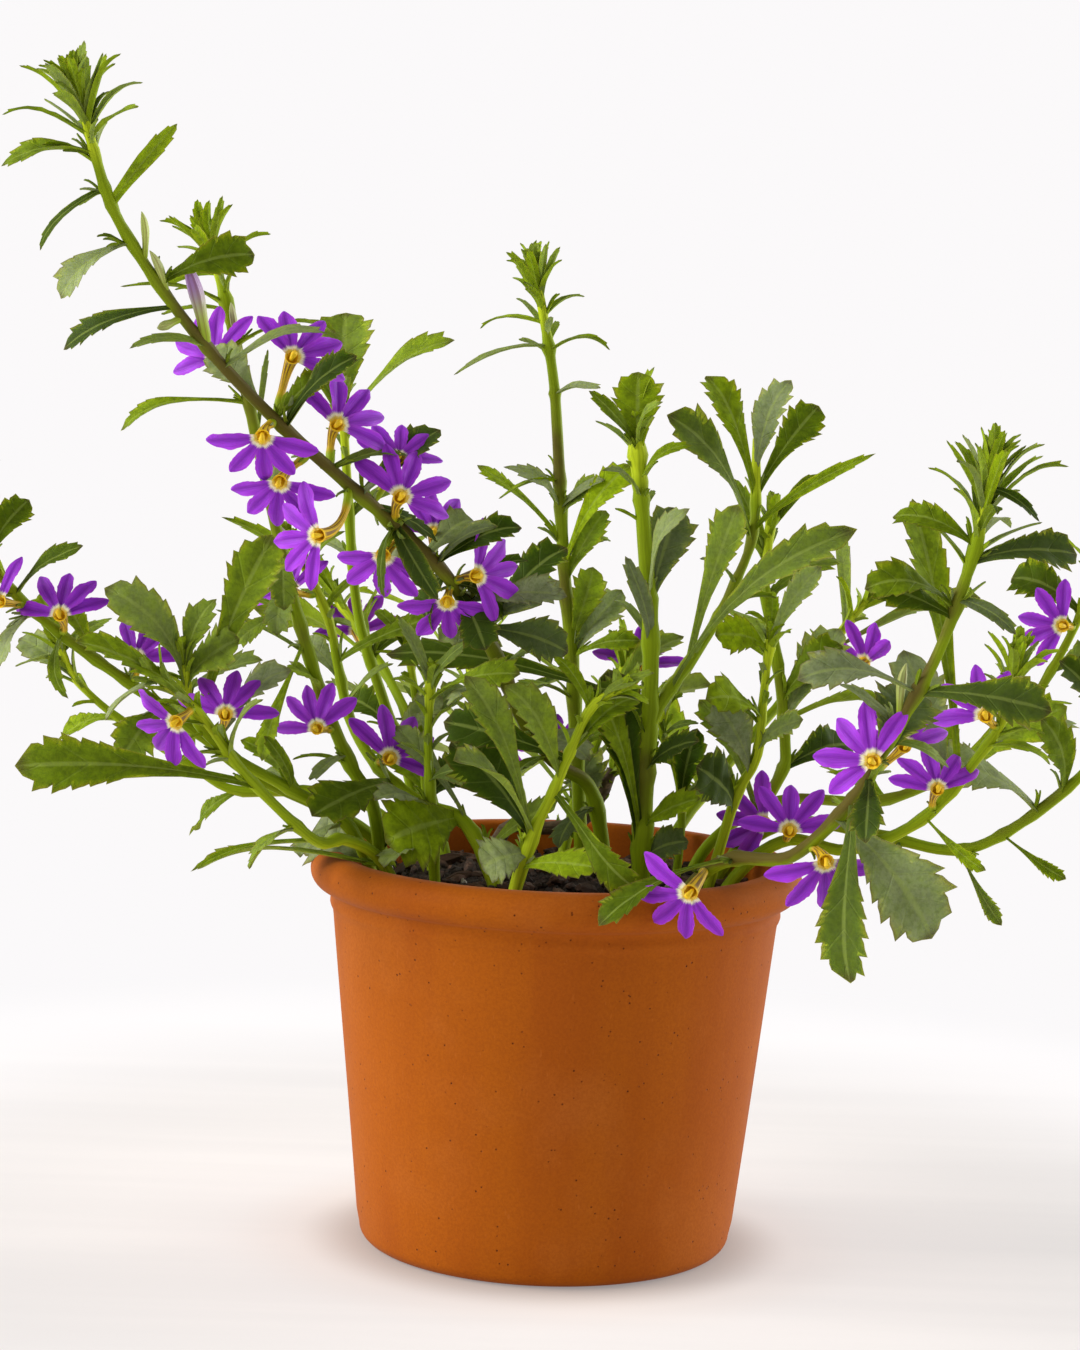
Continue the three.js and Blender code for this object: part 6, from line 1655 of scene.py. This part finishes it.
def leaf_finish(name, settings, upper):
    """A dull velvety leaf with a pale midrib and slanting side veins. Some leaves get a grey-green that is
    partly the velvet's own bloom and partly painted sheen.
    """
    leaf = Finish(name, Specular_IOR_Level=0.04, Subsurface_Weight=0.18,
                  Subsurface_Radius=(0.8, 1.0, 0.05), Subsurface_Scale=0.0012)
    place, tone = leaf.place(), leaf.tone()
    across, along, seed = leaf.parts(leaf.grain())
    spread = leaf.maths("ABSOLUTE", across)
    slant = leaf.maths("SUBTRACT", leaf.times(along, 5.5), leaf.times(spread, 0.8))
    veins = leaf.fade(leaf.maths("PINGPONG", slant, 0.5), 0.0, 0.07, 1.0, 0.0)
    midrib = leaf.fade(spread, 0.04, 0.13, 1.0, 0.0)
    mottle = leaf.noise(place, 330, 4.0, 0.6)
    velvet = leaf.noise(place, 1900, 2.0)
    flecks = leaf.noise(place, 1000, 3.0, 0.65)
    grown = settings.mature if upper else settings.under
    base = leaf.blend(tone, grown, settings.young)
    base = leaf.over(base, shade(grown, 0.6), mottle, 0.35, 0.7, 0.45)
    # Grey-green on some leaves, partly the velvet's own bloom and partly painted sheen.
    bloom_and_painted_sheen = leaf.fade(leaf.maths("FRACT", seed), 0.3, 1.0, 0.0, 0.75 if upper else 0.55)
    bloom_and_painted_sheen = leaf.times(bloom_and_painted_sheen, leaf.fade(tone, 0.35, 0.8, 1.0, 0.1))
    bloom_and_painted_sheen = leaf.times(bloom_and_painted_sheen, leaf.fade(mottle, 0.25, 0.6, 0.6, 1.0))
    base = leaf.blend(bloom_and_painted_sheen, base, settings.velvet)
    base = leaf.over(base, shade(grown, 2.2), velvet, 0.45, 0.8, 0.18)
    base = leaf.over(base, shade(grown, 0.5), flecks, 0.42, 0.62, 0.2)
    base = leaf.blend(leaf.times(veins, 0.08), base, settings.rib)
    base = leaf.blend(leaf.times(midrib, 0.3), base, settings.rib)
    margin = leaf.fade(spread, 0.86, 1.0, 0.0, 0.6)
    base = leaf.blend(leaf.maths("MAXIMUM", margin, leaf.fade(along, 0.92, 1.0, 0.0, 0.7)), base, LEAF_TIP)
    rise = leaf.maths("ADD", leaf.times(veins, -0.5 if upper else 0.7), leaf.times(mottle, 0.6))
    normal = leaf.relief(rise, 0.7, 0.3, leaf.relief(velvet, 0.25, 0.08))
    return leaf.finished(base, leaf.fade(mottle, 0.3, 0.7, 0.5, 0.68), normal)


def cane_finish(settings):
    """A green cane, streaked lengthwise and sunburnt purple-brown on its upper side."""
    cane = Finish("green_cane", Specular_IOR_Level=0.06, Subsurface_Weight=0.1,
                  Subsurface_Radius=(0.8, 1.0, 0.1), Subsurface_Scale=0.001)
    grain, sun = cane.grain(), cane.tone()
    streaks = cane.noise(cane.stretched(grain, (2.2, 2.2, 0.35)), 1.6, 3.0)
    patches = cane.noise(cane.place(), 45, 3.0)
    burn = cane.maths("ADD", sun, cane.times(cane.maths("SUBTRACT", patches, 0.5), 1.1))
    base = cane.over(settings.green, settings.fresh, sun, 0.0, 0.16, 0.0, 0.95)
    base = cane.over(base, shade(settings.green, 0.55), streaks, 0.35, 0.7, 0.5)
    base = cane.over(base, settings.sunburn, burn, 0.25, 0.75, 0.9)
    return cane.finished(base, cane.fade(streaks, 0.3, 0.7, 0.42, 0.6), cane.relief(streaks, 0.5, 0.25))


def petal_finish(settings):
    """A violet petal with a darker middle band, lighter wings and a cream foot, and painted shade that
    darkens it towards the foot.
    """
    petal = Finish("violet_petal", Specular_IOR_Level=0.15, Sheen_Weight=0.08, Sheen_Roughness=0.4,
                   Subsurface_Weight=0.2, Subsurface_Radius=(0.5, 0.1, 1.0), Subsurface_Scale=0.001)
    across, along = petal.parts(petal.grain())[:2]
    spread = petal.maths("ABSOLUTE", across)
    streaks = petal.noise(petal.stretched(petal.grain(), (7.0, 1.1, 3.0)), 2.0, 3.0)
    base = petal.over(settings.violet, shade(settings.violet, 0.7), streaks, 0.35, 0.68)
    base = petal.blend(petal.times(petal.tone(), 0.3), base, shade(settings.violet, 1.35))
    # Painted shade: the petal darkens towards its foot, in the band's colour.
    base = petal.over(base, settings.band, along, 0.05, 0.5, 0.0, 0.4)
    base = petal.over(base, settings.band, spread, 0.08, 0.6, 0.0, 0.55)
    base = petal.over(base, shade(settings.violet, 1.15), spread, 0.6, 1.0, 0.35)
    foot = petal.maths("ADD", along, petal.times(petal.maths("SUBTRACT", streaks, 0.5), 0.16))
    base = petal.over(base, settings.cream, foot, 0.08, 0.15, 0.0, 1.0)
    base = petal.over(base, settings.yellow, foot, 0.03, 0.07, 0.0, 0.9)
    return petal.finished(base, petal.fade(streaks, 0.3, 0.7, 0.4, 0.58), petal.relief(streaks, 0.6, 0.2))


def tube_finish(settings, leaf_settings):
    """The tube: green at the ovary, then yellow with brown stripes, and in the throat a brighter yellow
    that is painted light against the hollow's shade.
    """
    tube = Finish("striped_tube", Specular_IOR_Level=0.2, Subsurface_Weight=0.1,
                  Subsurface_Radius=(1.0, 0.7, 0.1), Subsurface_Scale=0.001)
    grain = tube.grain()
    along = tube.parts(grain)[2]
    stripes = tube.noise(tube.stretched(grain, (3.2, 3.2, 0.6)), 1.5, 2.0)
    speckle = tube.noise(tube.place(), 1400, 3.0)
    base = tube.over(shade(leaf_settings.young, 0.9), settings.yellow, along, 0.16, 0.34)
    striped = tube.times(tube.fade(stripes, 0.46, 0.56), tube.fade(along, 0.2, 0.4))
    striped = tube.times(striped, tube.fade(along, 0.93, 1.02, 1.0, 0.0))
    base = tube.blend(tube.times(striped, 0.85), base, settings.stripe)
    # Painted light: the throat's lining and the style are a brighter yellow, against the hollow's shade.
    base = tube.over(base, shade(settings.yellow, 1.15), along, 0.96, 1.02)
    base = tube.over(base, shade(settings.yellow, 0.6), speckle, 0.5, 0.8, 0.25)
    return tube.finished(base, tube.fade(speckle, 0.3, 0.7, 0.45, 0.6), tube.relief(stripes, 0.5, 0.2))


def bud_finish(settings, leaf_settings):
    """A bud that turns from green to yellow-green or violet at its tip."""
    bud = Finish("flower_bud", Specular_IOR_Level=0.35)
    grain = bud.grain()
    along = bud.parts(grain)[2]
    ribs = bud.noise(bud.stretched(grain, (2.6, 2.6, 0.7)), 1.5, 2.0)
    base = bud.over(shade(leaf_settings.young, 0.9), BUD_TIP, along, 0.1, 0.5)
    base = bud.blend(bud.times(bud.tone(), bud.fade(along, 0.25, 0.75)), base, BUD_PURPLE)
    base = bud.over(base, shade(settings.stripe, 1.6), ribs, 0.45, 0.7, 0.5)
    return bud.finished(base, bud.fade(ribs, 0.3, 0.7, 0.42, 0.6), bud.relief(ribs, 0.5, 0.25))


def floor_finish(settings):
    """A pale matt board with faint streaks, which glows more the farther it is from the pot. Its glow is
    painted light that pales the shadows on it; round the pot's foot it has a painted warm shadow, and there
    its glow is dimmed as a painted contact shadow.
    """
    board = Finish("pale_board", Specular_IOR_Level=0.0)
    place = board.place()
    streaks = board.noise(board.stretched(place, (1.5, 24.0, 2.0)), 1.0, 4.0)
    grit = board.noise(place, 160, 3.0)
    reach = board.node("ShaderNodeVectorMath", {0: place}, 1, operation="LENGTH")
    far = board.fade(reach, 0.1, 0.36)
    base = board.over(settings.floor, shade(settings.floor, 1.14), streaks, 0.35, 0.7)
    base = board.over(base, shade(settings.floor, 0.85), grit, 0.55, 0.8, 0.12)
    # Painted shadow: a warm, darker tint of the floor round the pot's foot.
    base = board.over(base, PAINTED_POT_SHADOW, reach, 0.05, 0.09, 0.0, 0.7)
    base = board.blend(far, base, (0, 0, 0))
    board.shader.inputs["Emission Color"].default_value = FLOOR_LIGHT
    glow = board.fade(far, 0, 1, settings.glow, settings.backdrop)
    # Painted contact shadow: the floor's glow is dimmed close to the pot's foot.
    glow = board.times(glow, board.fade(reach, 0.045, 0.068, 0.45, 1.0))
    board.links.new(glow, board.shader.inputs["Emission Strength"])
    return board.finished(base, board.fade(streaks, 0.3, 0.7, 0.7, 0.85), board.relief(grit, 0.1, 0.2))


def leaf_materials(settings):
    """The two sides of a leaf, made once and shared by all the stems and flowers."""
    names = ("leaf_upper_side", "leaf_underside")
    if names[0] not in bpy.data.materials:
        leaf_finish(names[0], settings, True)
        leaf_finish(names[1], settings, False)
    return [bpy.data.materials[name] for name in names]


class FANFLOWER_OT_pot(bpy.types.Operator):
    """Make the terracotta pot with its rolled rim and drain holes"""
    bl_idname = "fanflower.pot"
    bl_label = "Terracotta Pot"

    def execute(self, context):
        settings = context.scene.fan_flower_pot
        pot = turned_body("terracotta_pot", pot_section(settings), POT_SEGMENTS, settings.wobble / MM)
        bore = [(DRAIN_RADIUS, -POT_FLOOR), (DRAIN_RADIUS, 2 * POT_FLOOR)]
        for hole in range(DRAIN_HOLES):
            turn = math.radians(DRAIN_FIRST_TURN + 360 * hole / DRAIN_HOLES)
            cutter = turned_body("drain_bore", bore, DRAIN_SEGMENTS)
            cutter.location = (DRAIN_CIRCLE * MM * math.cos(turn), DRAIN_CIRCLE * MM * math.sin(turn), 0)
            drill(pot, cutter)
        pot.data.materials.clear()
        pot.data.materials.append(clay_finish(settings))
        pot.data.set_sharp_from_angle(angle=math.radians(50))
        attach(pot, "root")
        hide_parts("pot")
        return {"FINISHED"}


class FANFLOWER_OT_soil(bpy.types.Operator):
    """Fill the pot with compost and strew bark, perlite and crumbs over it"""
    bl_idname = "fanflower.soil"
    bl_label = "Soil and Bark"

    def execute(self, context):
        settings, pot = context.scene.fan_flower_soil, context.scene.fan_flower_pot
        edge = pot.body_radius / MM - POT_WALL - SOIL_GAP
        bottom = POT_FLOOR + SOIL_FOOT_GAP
        section = [(pot.foot_radius / MM - POT_WALL, bottom), (edge, SOIL_TOP - 2)]
        section += [(edge * (SOIL_RINGS - ring) / SOIL_RINGS, SOIL_TOP) for ring in range(1, SOIL_RINGS)]
        bed = turned_body("soil_bed", section, SOIL_SEGMENTS)
        draw = seeded_draw(SOIL_SEED)
        for corner in bed.data.vertices[SOIL_SEGMENTS:]:
            x, y = corner.co.x / MM, corner.co.y / MM
            beyond = max(0.0, math.hypot(x, y) / edge - SOIL_SINKS_FROM)
            rough = settings.lumps / MM * draw(-0.5, 0.5)
            corner.co.z = (soil_height(x, y) - SOIL_SINK * beyond / (1 - SOIL_SINKS_FROM) + rough) * MM
        bed.data.vertices[-2].co.z = bottom * MM
        bed.data.materials.append(earth_finish(settings))
        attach(bed, "root")
        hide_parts("soil")
        scatter("soil_bark_chips", settings.chips, edge, bark_finish("bark_chips", settings.bark, 1.0))
        scatter("soil_perlite", settings.perlite, edge, perlite_finish())
        scatter("soil_crumbs", settings.crumbs, edge, bark_finish("earth_crumbs", settings.earth, 1.6))
        return {"FINISHED"}


class FANFLOWER_OT_stems(bpy.types.Operator):
    """Grow the leafy stems, each where the frame has it"""
    bl_idname = "fanflower.stems"
    bl_label = "Leafy Stems"

    def execute(self, context):
        settings, leaf_settings = context.scene.fan_flower_stem, context.scene.fan_flower_leaf
        sides = leaf_materials(leaf_settings)
        green = cane_finish(settings)
        wood = bark_finish("old_wood", settings.wood, 1.0)
        leaves = 0
        for index, stem in enumerate(STEMS):
            materials = sides + [wood if stem["woody"] else green]
            leaves += grow_stem(index, stem, settings, leaf_settings, materials)
        if leaves < FEWEST_LEAVES:
            raise RuntimeError(f"Only {leaves} leaves were found in the frame")
        return {"FINISHED"}


class FANFLOWER_OT_blooms(bpy.types.Operator):
    """Set the violet fan blooms on their stems"""
    bl_idname = "fanflower.blooms"
    bl_label = "Fan Blooms"

    def execute(self, context):
        settings, leaf_settings = context.scene.fan_flower_bloom, context.scene.fan_flower_leaf
        materials = [petal_finish(settings), tube_finish(settings, leaf_settings)]
        materials += leaf_materials(leaf_settings)
        nodes = sorted(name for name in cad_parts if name.startswith("bloom_"))
        placed = 0
        for bloom in [listed_bloom(stem, *row) for stem in STEMS for row in stem["blooms"]]:
            petals = petal_draws(BLOOM_SEED + placed)
            settled = settled_bloom(bloom, petals, frame_points(nodes[min(placed, len(nodes) - 1)]))
            if settled:
                placed += 1
                name = f"flower_{placed:02d}"
                piece = grow_bloom(name, settled, petals, settings, leaf_settings, materials, placed)
                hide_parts(f"bloom_{placed:02d}")
            else:
                bloom["throat"] = floats(RIM_BLOOM)
                grow_bloom("flower_at_rim", bloom, petals, settings, leaf_settings, materials,
                           RIM_BLOOM_SEED)
        if placed < len(nodes):
            raise RuntimeError(f"Only {placed} of {len(nodes)} blooms are where the frame has them")
        return {"FINISHED"}


class FANFLOWER_OT_buds(bpy.types.Operator):
    """Set the buds near the tips of the flowering stems"""
    bl_idname = "fanflower.buds"
    bl_label = "Flower Buds"

    def execute(self, context):
        grow_buds([bud_finish(context.scene.fan_flower_bloom, context.scene.fan_flower_leaf)])
        return {"FINISHED"}


class FANFLOWER_OT_stage(bpy.types.Operator):
    """Lay the pale floor and set the lights and the camera"""
    bl_idname = "fanflower.stage"
    bl_label = "Floor, Light and Camera"

    def execute(self, context):
        settings = context.scene.fan_flower_stage
        section = [(radius, 0) for radius in FLOOR_RINGS]
        for turn in np.radians(np.linspace(5, 75, 15)):
            out, rise = FLOOR_SWEEP * math.sin(turn), FLOOR_SWEEP * (1 - math.cos(turn))
            section.append((FLOOR_RINGS[-1] + out, rise))
        floor = turned_body("pale_floor", section, FLOOR_SEGMENTS, bowl=True)
        floor.data.materials.append(floor_finish(settings))
        self.light("key_light", KEY_PLACE, settings.key)
        self.light("fill_light", FILL_PLACE, settings.fill)
        world = bpy.data.worlds.new("pale_room")
        world.use_nodes = True
        background = world.node_tree.nodes["Background"]
        background.inputs["Color"].default_value = ROOM_LIGHT
        background.inputs["Strength"].default_value = settings.sky
        context.scene.world = world
        context.scene.view_settings.view_transform = "Standard"
        self.camera(context.scene, settings)
        return {"FINISHED"}

    def light(self, name, place, power):
        lamp = bpy.data.lights.new(name, "AREA")
        lamp.size = LIGHT_SIZE
        lamp.energy = power
        stand = linked(name, lamp)
        stand.location = place
        stand.rotation_euler = (Vector(LIGHT_AIM) - Vector(place)).to_track_quat("-Z", "Y").to_euler()

    def camera(self, scene, settings):
        lens = bpy.data.cameras.new("photo_camera")
        lens.sensor_fit = "VERTICAL"
        lens.sensor_height = SENSOR_HEIGHT
        lens.lens = settings.focal_length
        lens.clip_end = 50
        scene.camera = linked("photo_camera", lens)
        pitch, roll, yaw = settings.aim
        turn = Matrix.Rotation(-yaw, 4, "Z") @ Matrix.Rotation(math.pi / 2 - pitch, 4, "X")
        turn = turn @ Matrix.Rotation(roll, 4, "Z")
        scene.camera.matrix_world = Matrix.Translation(settings.eye) @ turn


class FANFLOWER_PT_maker(bpy.types.Panel):
    """The steps that make the potted fan flower"""
    bl_idname = "FANFLOWER_PT_maker"
    bl_label = "Potted Fan Flower"
    bl_space_type = "VIEW_3D"
    bl_region_type = "UI"
    bl_category = "Fan Flower"

    def draw(self, context):
        for operator, groups in STEPS:
            box = self.layout.box()
            box.operator(operator.bl_idname)
            for group in groups:
                settings = getattr(context.scene, group)
                for name in type(settings).__annotations__:
                    box.prop(settings, name)


GROUPS = {
    "fan_flower_pot": PotSettings,
    "fan_flower_soil": SoilSettings,
    "fan_flower_stem": StemSettings,
    "fan_flower_leaf": LeafSettings,
    "fan_flower_bloom": BloomSettings,
    "fan_flower_stage": StageSettings,
}
STEPS = (
    (FANFLOWER_OT_stage, ["fan_flower_stage"]),
    (FANFLOWER_OT_pot, ["fan_flower_pot"]),
    (FANFLOWER_OT_soil, ["fan_flower_soil"]),
    (FANFLOWER_OT_stems, ["fan_flower_stem", "fan_flower_leaf"]),
    (FANFLOWER_OT_blooms, ["fan_flower_bloom"]),
    (FANFLOWER_OT_buds, []),
)


def register():
    for group in GROUPS.values():
        bpy.utils.register_class(group)
    for operator, groups in STEPS:
        bpy.utils.register_class(operator)
    bpy.utils.register_class(FANFLOWER_PT_maker)
    for name, group in GROUPS.items():
        setattr(bpy.types.Scene, name, bpy.props.PointerProperty(type=group))


def unregister():
    for name in GROUPS:
        delattr(bpy.types.Scene, name)
    bpy.utils.unregister_class(FANFLOWER_PT_maker)
    for operator, groups in reversed(STEPS):
        bpy.utils.unregister_class(operator)
    for group in reversed(GROUPS.values()):
        bpy.utils.unregister_class(group)


def main():
    register()
    bpy.ops.fanflower.stage()
    bpy.ops.fanflower.pot()
    bpy.ops.fanflower.soil()
    bpy.ops.fanflower.stems()
    bpy.ops.fanflower.blooms()
    bpy.ops.fanflower.buds()


if __name__ == "__main__":
    main()
